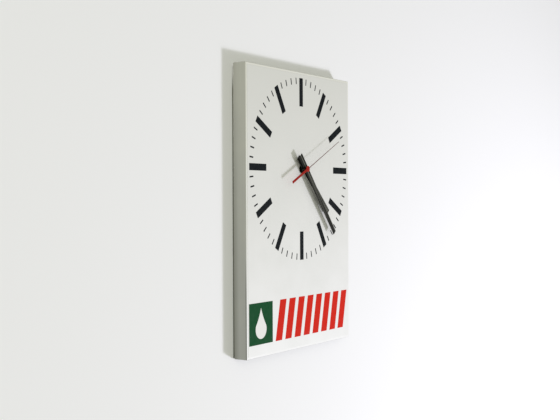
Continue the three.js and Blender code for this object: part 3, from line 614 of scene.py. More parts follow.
def turned_brass():
    # Free-cutting brass off the lathe: warm metal with rings round the axis. The tool's feed of
    # 0.08 mm is drawn at 0.35 mm.
    brass = Finish("turned_brass", "#C8A765", 0.26, METAL)
    tarnish = brass.span(brass.grain(3.0, 4.0), 0.4, 0.7)
    inputs = {"Vector": brass.place, "Location": (0, 0, -DIAL_Z * MM)}
    centred = brass.node("ShaderNodeMapping", inputs=inputs)
    settings = {"wave_type": "RINGS", "rings_direction": "Y"}
    inputs = {"Vector": centred.outputs["Vector"], "Scale": per_metre(0.35) * WAVES}
    rings = brass.node("ShaderNodeTexWave", settings, inputs)
    brass.feed(brass.blend(tarnish, "#CBA963", "#A98648"))
    brass.relief((rings.outputs["Fac"], 0.006))
    return brass.material


def blackened_brass():
    # Brass dipped in a blacking bath: nearly black, with bare metal rubbed out here and there.
    brass = Finish("blackened_brass", "#24221D", 0.45, METAL)
    rubbed = brass.span(brass.grain(1.2, 4.0), 0.62, 0.74, 0.0, 0.6)
    brass.feed(brass.blend(rubbed, "#24221D", "#6B5B38"))
    brass.relief((brass.grain(0.5, 2.0), 0.006))
    return brass.material


def moulded_black_abs(settings):
    # ABS from a spark-eroded mould: dark, even and dull, with a fine grain that takes a soft
    # highlight. The 0.08 mm grain is drawn at 0.35 mm.
    plastic = Finish("moulded_black_abs", settings.black, 0.5, {"IOR": 1.54})
    dust = plastic.span(plastic.grain(8.0, 5.0), 0.45, 0.8, 0.0, 0.4)
    plastic.feed(plastic.blend(dust, settings.black, "#4A4A49"))
    plastic.relief((plastic.grain(0.35, 1.0), 0.012))
    return plastic.material


def moulded_white_acetal(settings):
    # Undyed acetal: waxy, slightly translucent off-white with faint flow marks.
    values = {"IOR": 1.48, "Subsurface Weight": 0.15, "Subsurface Scale": 0.5 * MM}
    acetal = Finish("moulded_white_acetal", settings.natural, 0.38, values)
    flow = acetal.span(acetal.grain(3.5), 0.35, 0.7)
    acetal.feed(acetal.blend(flow, settings.natural, "#DAD4C2"))
    acetal.relief((acetal.grain(0.8, 1.0), 0.004))
    return acetal.material


def stamped_soft_iron():
    # Annealed iron, stamped: grey with a dull scale and shear marks.
    iron = Finish("stamped_soft_iron", "#A4A6A8", 0.48, METAL)
    scale = iron.span(iron.grain(2.2, 4.0), 0.35, 0.7)
    iron.feed(iron.blend(scale, "#B0B2B4", "#7F8184"))
    iron.relief((iron.grain(0.4, 2.0), 0.008))
    return iron.material


def enamelled_copper_wire():
    # Fine winding wire: bright red-brown turns lying side by side. The 0.03 mm wire is drawn as
    # turns 0.3 mm apart.
    wire = Finish("enamelled_copper_wire", "#B3673A", 0.3, {**METAL, "Coat Weight": 0.4})
    settings = {"wave_type": "BANDS", "bands_direction": "Z"}
    inputs = {"Vector": wire.place, "Scale": per_metre(0.3) * WAVES}
    turns = wire.node("ShaderNodeTexWave", settings, inputs).outputs["Fac"]
    wire.feed(wire.blend(turns, "#7C3A1C", "#C4784A"))
    wire.relief((turns, 0.05))
    return wire.material


def solder_mask_on_glass_board():
    # Glass fibre board under green mask: glossy, with the cloth's 0.5 mm weave just showing.
    board = Finish("solder_mask_on_glass_board", "#1E6A3C", 0.3, {"IOR": 1.55})
    inputs = {"Vector": board.place, "Scale": per_metre(0.5)}
    weave = board.node("ShaderNodeTexChecker", inputs=inputs).outputs["Fac"]
    tracks = board.span(board.grain(4.0, 0.0), 0.5, 0.52, 0.0, 0.6)
    board.feed(board.blend(tracks, "#175633", "#2C8350"))
    board.relief((weave, 0.004))
    return board.material


def nickel_plated_steel():
    # Thin bright nickel: a warm, clean mirror with light handling scratches.
    nickel = Finish("nickel_plated_steel", "#CBC7BE", 0.2, METAL)
    rubbed = nickel.grain(0.5, 3.0, (0.1, 1, 1))
    nickel.feed(roughness=nickel.spread(rubbed, 0.14, 0.34))
    nickel.relief((rubbed, 0.004))
    return nickel.material


def poured_black_epoxy():
    # A drop of potting resin: glossy and black, with a slightly uneven skin.
    resin = Finish("poured_black_epoxy", "#151515", 0.16, {"IOR": 1.55})
    skin = resin.grain(1.5, 2.0)
    resin.feed(roughness=resin.spread(skin, 0.1, 0.24))
    resin.relief((skin, 0.03))
    return resin.material


def sintered_ferrite():
    # Ground ferrite: dark grey, dull and slightly granular.
    ferrite = Finish("sintered_ferrite", "#3A3B3D", 0.55, {"IOR": 2.3})
    grains = ferrite.grain(0.4, 2.0)
    ferrite.feed(ferrite.blend(grains, "#2C2D2F", "#4B4C4E"))
    ferrite.relief((grains, 0.01))
    return ferrite.material


def printed_foil_wrap(settings):
    # The cell's shrunk foil sleeve: a satin metallic blue, with fine draw lines along the cell
    # and a plain silver band at the positive end.
    values = {"Metallic": 0.6, "Coat Weight": 0.5}
    foil = Finish("printed_foil_wrap", settings.wrap, 0.28, values)
    low, high = node_box("battery")
    edge = (low.x + 0.24 * (high.x - low.x)) * MM
    band = foil.span(foil.axis("X"), edge, edge + 0.1 * MM)
    lines = foil.grain(0.5, 2.0, (0.03, 1, 1))
    foil.feed(foil.blend(band, settings.band, settings.wrap), foil.spread(lines, 0.22, 0.36))
    foil.relief((lines, 0.006))
    return foil.material


def one_sided(name, colour, roughness, grain_size):
    """A stage surface that is seen from its front only, so that views from behind are clear."""
    paint = Finish(name, colour, roughness, {"IOR": 1.45})
    paint.relief((paint.grain(grain_size), 0.02))
    clear = paint.node("ShaderNodeBsdfTransparent").outputs["BSDF"]
    facing = paint.node("ShaderNodeNewGeometry").outputs["Backfacing"]
    inputs = {0: facing, 1: paint.shader.outputs["BSDF"], 2: clear}
    either = paint.node("ShaderNodeMixShader", inputs=inputs)
    paint.tree.links.new(either.outputs["Shader"], paint.output.inputs["Surface"])
    return paint


# ---- operators ------------------------------------------------------------------------------


class ClockOperator:
    """What the build steps share."""

    bl_options = {"REGISTER", "UNDO"}

    @property
    def clock(self):
        return bpy.context.scene.station_clock


class STATIONCLOCK_OT_fold_case(ClockOperator, bpy.types.Operator):
    """Fold the steel case with its rounded front, its lip and its ground corners"""

    bl_idname = "station_clock.fold_case"
    bl_label = "Fold case"

    def case_ring(self, bm, inset, y):
        """The case's outline moved in by inset, with its corners kept round."""
        radius = max(self.clock.case.corner / MM - inset, 0.25)
        points = rounded_rectangle(
            CASE_LOW.x + inset,
            CASE_LOW.z + inset,
            CASE_HIGH.x - inset,
            CASE_HIGH.z - inset,
            radius,
        )
        return add_ring(bm, points, y)

    def fold_profile(self, thick):
        """(inset, y) pairs from the lip's edge to the front panel, thick inside the outer skin."""
        case = self.clock.case
        fold = case.fold / MM - thick
        rear_fold = case.rear_fold / MM - thick
        rear = CASE_HIGH.y - thick
        front = CASE_LOW.y + thick
        turn = quarter_turn(FOLD_STEPS)
        profile = [(case.lip / MM, rear)]
        profile += [(thick + rear_fold * (1 - s), rear - rear_fold * (1 - c)) for s, c in turn]
        profile += [(thick + fold * (1 - c), front + fold * (1 - s)) for s, c in turn]
        return profile

    def execute(self, context):
        case = self.clock.case
        sheet = case.sheet / MM
        bm = bmesh.new()
        outer = [self.case_ring(bm, inset, y) for inset, y in self.fold_profile(0.0)]
        inner = [self.case_ring(bm, inset, y) for inset, y in self.fold_profile(sheet)]
        bridge(bm, outer)
        bridge(bm, inner)
        bridge(bm, [outer[0], inner[0]])
        hole = circle(POST_HOLE, (DIAL_X, DIAL_Z))
        hole_rings = [add_ring(bm, hole, y) for y in (CASE_LOW.y, CASE_LOW.y + sheet)]
        bridge(bm, hole_rings)
        fill(bm, [outer[-1], hole_rings[0]])
        fill(bm, [inner[-1], hole_rings[1]])
        # The sides take a darkened copy of the front's lacquer: painted shade.
        sides = stoved_lacquer(
            "stoved_lacquer_on_folded_steel_in_painted_shade", case.lacquer, case.lacquer_top_painted_light, True
        )
        white = self.clock.dial.white
        # The front runs from the white at its foot to a darker top: painted shade.
        front = stoved_lacquer("stoved_lacquer_on_lit_front", white, case.front_top_painted_shade, False)
        for face in bm.faces:
            at_front = face.calc_center_median().y < CASE_LOW.y + 0.5
            face.material_index = 1 if at_front else 0
        finish = [sides, front]
        add_piece("folded_case", bm, finish, "case", ["case_shell"])
        self.add_corner_welds(sides)
        return {"FINISHED"}

    def add_corner_welds(self, lacquer):
        """The lips meet in mitres, which are welded and painted over."""
        bm = bmesh.new()
        lip = self.clock.case.lip / MM
        rear = CASE_HIGH.y
        for x, inward in ((CASE_LOW.x, 1), (CASE_HIGH.x, -1)):
            for z, upward in ((CASE_LOW.z, 1), (CASE_HIGH.z, -1)):
                start = Vector((x + 1.6 * inward, z + 1.6 * upward))
                end = Vector((x + (lip - 0.4) * inward, z + (lip - 0.4) * upward))
                side = (end - start).normalized().orthogonal() * 0.55
                corners = [start - side, end - side, end + side, start + side]
                outline = [tuple(corner) for corner in corners]
                add_plate(bm, outline, rear + 0.14, rear - 0.3, rear_edge=0.3)
        add_piece("mitre_welds", bm, [lacquer], "case")


class STATIONCLOCK_OT_lay_face(ClockOperator, bpy.types.Operator):
    """Lay the white face sheet on the case's front"""

    bl_idname = "station_clock.lay_face"
    bl_label = "Lay face sheet"

    def execute(self, context):
        bm = bmesh.new()
        outline = rounded_rectangle(SHEET_LOW.x, SHEET_LOW.z, SHEET_HIGH.x, SHEET_HIGH.z, 0.8)
        hole = circle(POST_HOLE, (DIAL_X, DIAL_Z))
        add_plate(bm, outline, SHEET_HIGH.y, SHEET_LOW.y, [hole], front_edge=0.12)
        white = white_screen_ground_on_sheet(self.clock.dial)
        add_piece("face_sheet_printed", bm, [white], "case", ["face_sheet"])
        return {"FINISHED"}


class STATIONCLOCK_OT_print_dial(ClockOperator, bpy.types.Operator):
    """Print the hour batons and the minute ticks"""

    bl_idname = "station_clock.print_dial"
    bl_label = "Print dial"

    def execute(self, context):
        dial = self.clock.dial
        bm = bmesh.new()
        for minute in range(60):
            hour = minute % 5 == 0
            half = (dial.baton if hour else dial.tick_width) / MM / 2
            outer = dial.outer / MM
            inner = dial.inner / MM if hour else outer - dial.tick / MM
            mark = [(-half, inner), (half, inner), (half, outer), (-half, outer)]
            outline = turned_outline(mark, 6 * minute, (DIAL_X, DIAL_Z))
            add_plate(bm, outline, FACE_Y + INK_SINK, FACE_Y - dial.film / MM)
        ink = screen_ink("black_screen_ink", dial.ink)
        add_piece("dial_print", bm, [ink], "case")
        return {"FINISHED"}


class STATIONCLOCK_OT_print_marks(ClockOperator, bpy.types.Operator):
    """Print the green square with its drop, and the slanted red bars"""

    bl_idname = "station_clock.print_marks"
    bl_label = "Print marks"

    def drop(self, centre, height):
        """A plain drop: a round foot that draws in to a point."""
        x, z = centre
        radius = height * 0.31
        foot = z - height / 2 + radius
        meets = 25.0
        points = arc((x, foot), radius, 180 - meets, 360 + meets, 40)
        tip = (x, z + height / 2)
        right, left = points[-1], points[0]
        for side, start in ((1, right), (-1, left)):
            bend = (x + side * radius * 0.32, foot + radius * 1.25)
            curve = [
                (
                    (1 - t) ** 2 * start[0] + 2 * t * (1 - t) * bend[0] + t * t * tip[0],
                    (1 - t) ** 2 * start[1] + 2 * t * (1 - t) * bend[1] + t * t * tip[1],
                )
                for t in (0.125 * step for step in range(1, 8))
            ]
            if side == 1:
                points += [*curve, tip]
            else:
                points += list(reversed(curve))
        return points

    def execute(self, context):
        mark = self.clock.mark
        front = FACE_Y - self.clock.dial.film / MM
        rear = FACE_Y + INK_SINK
        bottom = CASE_LOW.z + mark.foot / MM
        top = bottom + mark.square / MM
        left = CASE_LOW.x + mark.square_left / MM
        right = left + mark.square / MM
        drop = self.drop(((left + right) / 2, (bottom + top) / 2), 0.74 * (top - bottom))
        square = [(left, bottom), (right, bottom), (right, top), (left, top)]
        for name, outline, holes, colour in (
            ("green_square", square, [drop], mark.green),
            ("white_drop", drop, [], mark.white),
        ):
            bm = bmesh.new()
            add_plate(bm, outline, rear, front, holes)
            ink = screen_ink(name.replace("_", "_screen_ink_"), colour)
            add_piece(name, bm, [ink], "case")
        bm = bmesh.new()
        lean = math.tan(mark.slant) * (top - bottom)
        first = CASE_LOW.x + mark.bars_left / MM
        width = mark.bar / MM
        step = (mark.bars_width / MM - width - lean) / (mark.bars - 1)
        for i in range(mark.bars):
            x = first + i * step
            outline = [(x, bottom), (x + width, bottom)]
            outline += [(x + width + lean, top), (x + lean, top)]
            add_plate(bm, outline, rear, front)
        ink = screen_ink("red_screen_ink", mark.red)
        add_piece("red_bars", bm, [ink], "case")
        return {"FINISHED"}


class STATIONCLOCK_OT_make_hanger(ClockOperator, bpy.types.Operator):
    """Press the hanger rail and its keyhole plate, and weld them together"""

    bl_idname = "station_clock.make_hanger"
    bl_label = "Make hanger"

    def keyhole(self):
        """The screw head's round hole, with the slot above it for the shank."""
        slot_half = 3.0
        radius = 5.5
        round_z = -19.0
        slot_z = -7.0
        meets = math.degrees(math.asin(slot_half / radius))
        points = arc((0, round_z), radius, 90 + meets, 450 - meets, 40)
        return points + arc((0, slot_z), slot_half, 0, 180, 16)

    def execute(self, context):
        zinc = zinc_plated_pressed_steel()
        low, high = node_box("hanger_rail")
        window = rounded_rectangle(-9.5, -28.5, 9.5, -1.0, 3.0)
        outline = rounded_rectangle(low.x, low.z, high.x, high.z, 1.5)
        bm = bmesh.new()
        add_plate(bm, outline, high.y, low.y, [window], rear_edge=0.2, front_edge=0.2)
        add_piece("pressed_rail", bm, [zinc], "case", ["hanger_rail"])
        low, high = node_box("hanger_plate")
        outline = rounded_rectangle(low.x, low.z, high.x, high.z, 4.0)
        bm = bmesh.new()
        add_plate(bm, outline, high.y, low.y, [self.keyhole()], rear_edge=0.3, front_edge=0.2)
        add_piece("keyhole_plate", bm, [zinc], "case", ["hanger_plate"])
        bm = bmesh.new()
        for x in (-21.0, 21.0):
            for z in (1.0, -11.0, -23.0):
                add_turned(
                    bm,
                    [(0, high.y + 0.01), (1.5, high.y + 0.01), (1.9, high.y + 0.07)]
                    + [(2.4, high.y + 0.05), (2.9, high.y - 0.1), (0, high.y - 0.1)],
                    (x, z),
                    28,
                )
        add_piece("spot_welds", bm, [zinc], "case")
        return {"FINISHED"}


class STATIONCLOCK_OT_set_rivets(ClockOperator, bpy.types.Operator):
    """Set the four rivets that hold the rail to the case's lips"""

    bl_idname = "station_clock.set_rivets"
    bl_label = "Set rivets"

    def execute(self, context):
        metal = tumbled_aluminium()
        for corner in CORNERS:
            node = f"rivet_{corner}"
            low, high = node_box(node)
            centre = ((low.x + high.x) / 2, (low.z + high.z) / 2)
            head, shank = 3.2, 1.6
            seat = high.y - 0.9
            profile = [(0, high.y - 0.35), (0.9, high.y - 0.35), (1.0, high.y - 0.05)]
            profile += [(1.3, high.y), (1.9, high.y - 0.08), (2.6, high.y - 0.35)]
            profile += [(3.0, high.y - 0.62), (head, seat - 0.05), (head - 0.1, seat)]
            profile += [(shank, seat), (shank, low.y + 1.0), (2.5, low.y + 1.0)]
            profile += [(2.3, low.y + 0.4), (1.6, low.y + 0.08), (0, low.y)]
            bm = bmesh.new()
            add_turned(bm, profile, centre, 32)
            add_piece(f"headed_{node}", bm, [metal], "case", [node])
        return {"FINISHED"}


class STATIONCLOCK_OT_fit_bumpers(ClockOperator, bpy.types.Operator):
    """Stick the four rubber bumpers on the lip's corners"""

    bl_idname = "station_clock.fit_bumpers"
    bl_label = "Fit bumpers"

    def execute(self, context):
        rubber = moulded_black_rubber()
        for corner in CORNERS:
            node = f"bumper_{corner}"
            low, high = node_box(node)
            centre = ((low.x + high.x) / 2, (low.z + high.z) / 2)
            base = (high.x - low.x) / 2
            flat = base - 0.9
            profile = [(0, low.y), (base, low.y), (base, low.y + 0.25)]
            turn = quarter_turn(4)
            profile += [(flat - 0.4 + 0.55 * c, high.y - 0.4 * (1 - s)) for s, c in turn]
            profile.append((0, high.y))
            bm = bmesh.new()
            add_turned(bm, profile, centre, 40)
            add_piece(f"moulded_{node}", bm, [rubber], "case", [node])
        return {"FINISHED"}


class STATIONCLOCK_OT_clamp_movement(ClockOperator, bpy.types.Operator):
    """Make the two washers and the nut that clamp the movement to the panel"""

    bl_idname = "station_clock.clamp_movement"
    bl_label = "Clamp movement"

    def washer(self, node, name, material, slot, edge):
        bore = POST_HOLE
        low, high = node_box(node)
        radius = (high.x - low.x) / 2
        profile = [(bore + edge, low.y), (radius - edge, low.y), (radius, low.y + edge)]
        profile += [(radius, high.y - edge), (radius - edge, high.y)]
        profile += [(bore + edge, high.y), (bore, high.y - edge), (bore, low.y + edge)]
        bm = bmesh.new()
        add_turned(bm, profile, (DIAL_X, DIAL_Z), 72, closed=True)
        add_piece(name, bm, [material], "case", [node])

    def execute(self, context):
        brass = blackened_brass()
        rubber = moulded_black_rubber()
        self.washer("rubber_washer", "sealing_washer", rubber, "black_rubber", 0.25)
        self.washer("brass_washer", "pressed_washer", brass, "brass", 0.12)
        self.nut(brass)
        return {"FINISHED"}

    def nut(self, brass):
        """A thin hexagon nut, turned down at its corners."""
        low, high = node_box("mounting_nut")
        corner = (high.x - low.x) / 2
        flat = corner * math.cos(math.pi / 6)
        bore = 4.0
        count = 72
        centre = (DIAL_X, DIAL_Z)

        def hexagon(limit, y):
            points = []
            for i in range(count):
                angle = 2 * math.pi * i / count
                from_flat = (math.degrees(angle) % 60) - 30
                radius = min(flat / math.cos(math.radians(from_flat)), limit)
                points.append((radius * math.cos(angle), radius * math.sin(angle)))
            return add_ring(bm, [(centre[0] + x, centre[1] + z) for x, z in points], y)

        bm = bmesh.new()
        rings = [hexagon(flat - 0.15, low.y), hexagon(flat + 0.1, low.y + 0.1)]
        rings += [hexagon(corner, low.y + 0.45), hexagon(corner, high.y - 0.45)]
        rings += [hexagon(flat + 0.1, high.y - 0.1), hexagon(flat - 0.15, high.y)]
        bores = [(bore + 0.3, high.y), (bore, high.y - 0.3), (bore, low.y + 0.3)]
        bores += [(bore + 0.3, low.y)]
        rings += [add_ring(bm, circle(radius, centre, count), y) for radius, y in bores]
        bridge(bm, rings, closed=True)
        add_piece("hexagon_nut", bm, [brass], "case", ["mounting_nut"])


class STATIONCLOCK_OT_mould_movement(ClockOperator, bpy.types.Operator):
    """Mould the movement's cover with its raised marks, and finish the box"""

    bl_idname = "station_clock.mould_movement"
    bl_label = "Mould movement"

    def execute(self, context):
        plastic = moulded_black_abs(self.clock.movement)
        finish_node("movement_housing", plastic)
        low, high = node_box("movement_cover")
        cell_low, cell_high = node_box("battery")
        bay = [low.x + 1.2, low.z + 1.2, high.x - 1.2, DIAL_Z - 15.4]
        outline = rounded_rectangle(low.x, low.z, high.x, high.z, 3.0)
        window = rounded_rectangle(*bay, 0.6)
        knob = joint_axis("setting_knob_turn")
        bm = bmesh.new()
        holes = [window, circle(1.35, knob)]
        add_plate(bm, outline, high.y, low.y, holes, rear_edge=0.45)
        node = "movement_cover"
        add_piece("moulded_cover", bm, [plastic], "case", [node])
        self.raised_marks(plastic, low, high, knob, (cell_low.z + cell_high.z) / 2)
        return {"FINISHED"}

    def raised_marks(self, plastic, low, high, knob, cell_z):
        """Setting arrow round the knob, polarity signs, ribs, snaps and ejector rings."""
        bm = bmesh.new()
        rear, foot = high.y + 0.35, high.y - 0.1
        outer, inner = 9.4, 8.4
        sweep = arc(knob, outer, 110, 250, 24) + arc(knob, inner, 250, 110, 24)
        add_plate(bm, sweep, rear, foot, rear_edge=0.12)
        middle = (outer + inner) / 2
        tip = arc(knob, middle, 92, 92, 1)[0]
        wings = arc(knob, outer + 0.9, 111, 111, 1) + arc(knob, inner - 0.9, 111, 111, 1)
        add_plate(bm, [tip, wings[0], wings[2]], rear, foot, rear_edge=0.12)
        # A cross at the positive end and a dash at the negative end, above the cell.
        sign_z = DIAL_Z - 12.6
        a, b = 1.7, 0.4
        dash = [(-a, -b), (a, -b), (a, b), (-a, b)]
        cross = [(-a, -b), (-b, -b), (-b, -a), (b, -a), (b, -b), (a, -b)]
        cross += [(a, b), (b, b), (b, a), (-b, a), (-b, b), (-a, b)]
        for x, sign in ((low.x + 6, cross), (high.x - 6, dash)):
            outline = [(x + u, sign_z + v) for u, v in sign]
            add_plate(bm, outline, rear, foot, rear_edge=0.1)
        for x, z in ((low.x + 9, high.z - 9), (low.x + 30, high.z - 9), (low.x + 12, DIAL_Z)):
            add_turned(
                bm,
                [(2.2, foot), (2.2, high.y + 0.12), (2.6, high.y + 0.12), (2.6, foot)],
                (x, z),
                32,
                closed=True,
            )
        for z in (high.z - 14, DIAL_Z - 8):
            for x, outward in ((low.x, -1), (high.x, 1)):
                edge = sorted((x - outward * 3.2, x + outward * 0.3))
                outline = rounded_rectangle(edge[0], z - 3, edge[1], z + 3, 0.5)
                add_plate(bm, outline, high.y + 0.3, high.y - 1.0, rear_edge=0.25)
        add_piece("cover_marks", bm, [plastic], "case")


class STATIONCLOCK_OT_fit_cell(ClockOperator, bpy.types.Operator):
    """Fit the battery with its crimped ends, and finish its two contacts"""

    bl_idname = "station_clock.fit_cell"
    bl_label = "Fit cell"

    def execute(self, context):
        low, high = node_box("battery")
        nickel = nickel_plated_steel()
        for node in ("contact_plus", "contact_minus"):
            finish_node(node, nickel)
        radius = (high.z - low.z) / 2
        middle_y, middle_z = (low.y + high.y) / 2, (low.z + high.z) / 2
        nub = 1.4
        length = high.x - low.x
        crimp = [(out, nub + along) for out, along in arc((radius - 0.7, 0.7), 0.7, -90, 0, 4)]
        far_crimp = arc((radius - 0.6, length - 0.6), 0.6, 0, 90, 4)
        steel_from = [(0, 0), (2.4, 0), (2.7, 0.3), (2.7, nub), (3.4, nub + 0.15)]
        steel_from += [(radius - 1.6, nub + 0.15)]
        steel_to = [(radius - 1.3, length), (radius - 1.5, length - 0.15), (0, length - 0.15)]
        profile = steel_from + crimp + far_crimp + steel_to
        bm = bmesh.new()
        add_turned(bm, profile, (0, 0), 56)
        for face in bm.faces:
            centre = face.calc_center_median()
            wrapped = Vector((centre.x, centre.z)).length > radius - 1.45
            face.material_index = 1 if wrapped else 0
        lie = Matrix(((0, 1, 0, low.x), (1, 0, 0, middle_y), (0, 0, 1, middle_z), (0, 0, 0, 1)))
        bmesh.ops.transform(bm, matrix=lie, verts=bm.verts)
        foil = printed_foil_wrap(self.clock.movement)
        add_piece("wrapped_cell", bm, [nickel, foil], "case", ["battery"])
        return {"FINISHED"}


class STATIONCLOCK_OT_make_knob(ClockOperator, bpy.types.Operator):
    """Mould the ribbed setting knob"""

    bl_idname = "station_clock.make_knob"
    bl_label = "Make knob"

    def execute(self, context):
        low, high = node_box("setting_knob")
        centre = joint_axis("setting_knob_turn")
        outer = (high.x - low.x) / 2
        ribs = self.clock.movement.ribs
        per_rib = 8
        depth = 0.28
        outline = []
        for i in range(ribs * per_rib):
            angle = 2 * math.pi * i / (ribs * per_rib)
            radius = outer - depth + depth * math.cos(ribs * angle)
            outline.append(
                (centre[0] + radius * math.cos(angle), centre[1] + radius * math.sin(angle))
            )
        plastic = moulded_black_abs(self.clock.movement)
        bm = bmesh.new()
        holes = [circle(1.25, centre)]
        add_plate(bm, outline, high.y, low.y, holes, rear_edge=0.4, front_edge=0.2)
        # A ring and a pointer stand on its face.
        rear = high.y + 0.25
        profile = [(3.6, high.y - 0.1), (3.6, rear), (4.2, rear), (4.2, high.y - 0.1)]
        add_turned(bm, profile, centre, 40, closed=True)
        pointer = turned_outline([(-0.9, 1.9), (0.9, 1.9), (0, 3.3)], 20, centre)
        add_plate(bm, pointer, rear, high.y - 0.1, rear_edge=0.08)
        add_piece(
            "ribbed_knob", bm, [plastic], "setting_works", ["setting_knob"]
        )
        return {"FINISHED"}


class STATIONCLOCK_OT_finish_works(ClockOperator, bpy.types.Operator):
    """Finish the wheels, the frame plates, the motor and the board"""

    bl_idname = "station_clock.finish_works"
    bl_label = "Finish works"

    def execute(self, context):
        movement = self.clock.movement
        acetal = moulded_white_acetal(movement)
        finishes = {
            acetal: [
                "mid_plate",
                "train_bridge",
                "coil_bobbin",
                "rotor_pinion",
                "intermediate_wheel",
                "second_wheel",
                "third_wheel",
                "centre_wheel",
                "minute_wheel",
                "hour_wheel",
                "setting_arbor",
            ],
            turned_brass(): ["minute_arbor"],
            stamped_soft_iron(): ["stator", "coil_core"],
            enamelled_copper_wire(): ["coil_winding"],
            solder_mask_on_glass_board(): ["circuit_board"],
            nickel_plated_steel(): ["quartz_crystal"],
            poured_black_epoxy(): ["driver_chip"],
            sintered_ferrite(): ["rotor_magnet"],
        }
        for material, nodes in finishes.items():
            for node in nodes:
                finish_node(node, material)
        return {"FINISHED"}


class STATIONCLOCK_OT_stamp_bar_hands(ClockOperator, bpy.types.Operator):
    """Stamp the black hour and minute hands, and press in their collets"""

    bl_idname = "station_clock.stamp_bar_hands"
    bl_label = "Stamp bar hands"

    def execute(self, context):
        hands = self.clock.hands
        centre = (DIAL_X, DIAL_Z)
        # name, body, angle, tail and tip radius, tail and tip width, tube radius, collet radius
        for name, body, degrees, tail, tip, wide, narrow, tube, boss in (
            ("hour", "hour_works", HOUR_ANGLE, 29.7, 115.0, 11.4, 10.6, 2.5, 4.2),
            ("minute", "minute_works", MINUTE_ANGLE, 31.0, 155.0, 12.6, 10.0, 1.6, 3.4),
        ):
            node = f"{name}_hand"
            low, high = node_box(node)
            blade = [(-wide / 2, -tail), (wide / 2, -tail), (narrow / 2, tip), (-narrow / 2, tip)]
            outline = turned_outline(blade, degrees, centre)
            edge = hands.edge / MM
            # The second colour is the blade's painted highlight streaks.
            black = lacquer_on_stamped_aluminium(
                f"black_lacquer_on_{name}_blade", hands.black, "#6C6D63", degrees
            )
            bm = bmesh.new()
            bore = tube + 0.06
            holes = [circle(bore, centre, 40)]
            add_plate(bm, outline, high.y, low.y, holes, rear_edge=0.05, front_edge=edge)
            add_piece(f"{name}_blade", bm, [black], body, [node])
            low, high = node_box(f"{node}_collet")
            profile = [(bore, low.y), (boss, low.y), (boss, low.y + 0.7)]
            profile += [(boss - 0.5, low.y + 0.85), (boss - 0.5, high.y - 0.15)]
            profile += [(boss - 0.65, high.y), (bore, high.y)]
            bm = bmesh.new()
            add_turned(bm, profile, centre, 48, closed=True)
            add_piece(f"{name}_collet", bm, [black], body, [f"{node}_collet"])
        return {"FINISHED"}


class STATIONCLOCK_OT_stamp_second_hand(ClockOperator, bpy.types.Operator):
    """Stamp the red second hand with its round boss and broad tail"""

    bl_idname = "station_clock.stamp_second_hand"
    bl_label = "Stamp second hand"

    def execute(self, context):
        hands = self.clock.hands
        centre = (DIAL_X, DIAL_Z)
        low, high = node_box("second_hand")
        hub, root, point, tail = 5.4, 0.65, 0.45, 2.35
        root_at = math.degrees(math.asin(root / hub))
        tail_at = math.degrees(math.asin(tail / hub))
        shape = [(point, 123.5), (-point, 123.5)]
        shape += arc((0, 0), hub, 90 + root_at, 270 - tail_at, 20)
        shape += [(-tail, -58.0), (tail, -58.0)]
        shape += arc((0, 0), hub, tail_at - 90, 90 - root_at, 20)
        red = lacquer_on_stamped_aluminium(
            "red_lacquer_on_second_blade", hands.red, "#B62410", SECOND_ANGLE
        )
        bm = bmesh.new()
        outline = turned_outline(shape, SECOND_ANGLE, centre)
        add_plate(bm, outline, high.y, low.y, rear_edge=0.04, front_edge=0.1)
        turn = math.radians(SECOND_ANGLE)
        along = Vector((math.sin(turn), math.cos(turn)))
        for face in bm.faces:
            middle = face.calc_center_median()
            out = along.dot(Vector((middle.x - centre[0], middle.z - centre[1])))
            face.material_index = 1 if out > hub - 0.1 else 0
        # The needle takes a darkened copy of the red lacquer: painted shade.
        dull = lacquer_on_stamped_aluminium(
            "red_lacquer_on_needle_in_painted_shade", hands.needle, "#7A2A26", SECOND_ANGLE
        )
        add_piece("second_blade", bm, [red, dull], "second_works", ["second_hand"])
        low, high = node_box("second_hand_hub")
        bore, boss, tube = 0.56, 5.1, 1.7
        front = low.y
        profile = [(bore, front), (boss - 0.15, front), (boss, front + 0.15)]
        profile += [(boss, front + 1.05), (boss - 0.15, front + 1.2), (tube, front + 1.2)]
        profile += [(tube, high.y - 0.15), (tube - 0.15, high.y), (bore, high.y)]
        bm = bmesh.new()
        add_turned(bm, profile, centre, 48, closed=True)
        add_piece("second_boss", bm, [red], "second_works", ["second_hand_hub"])
        return {"FINISHED"}


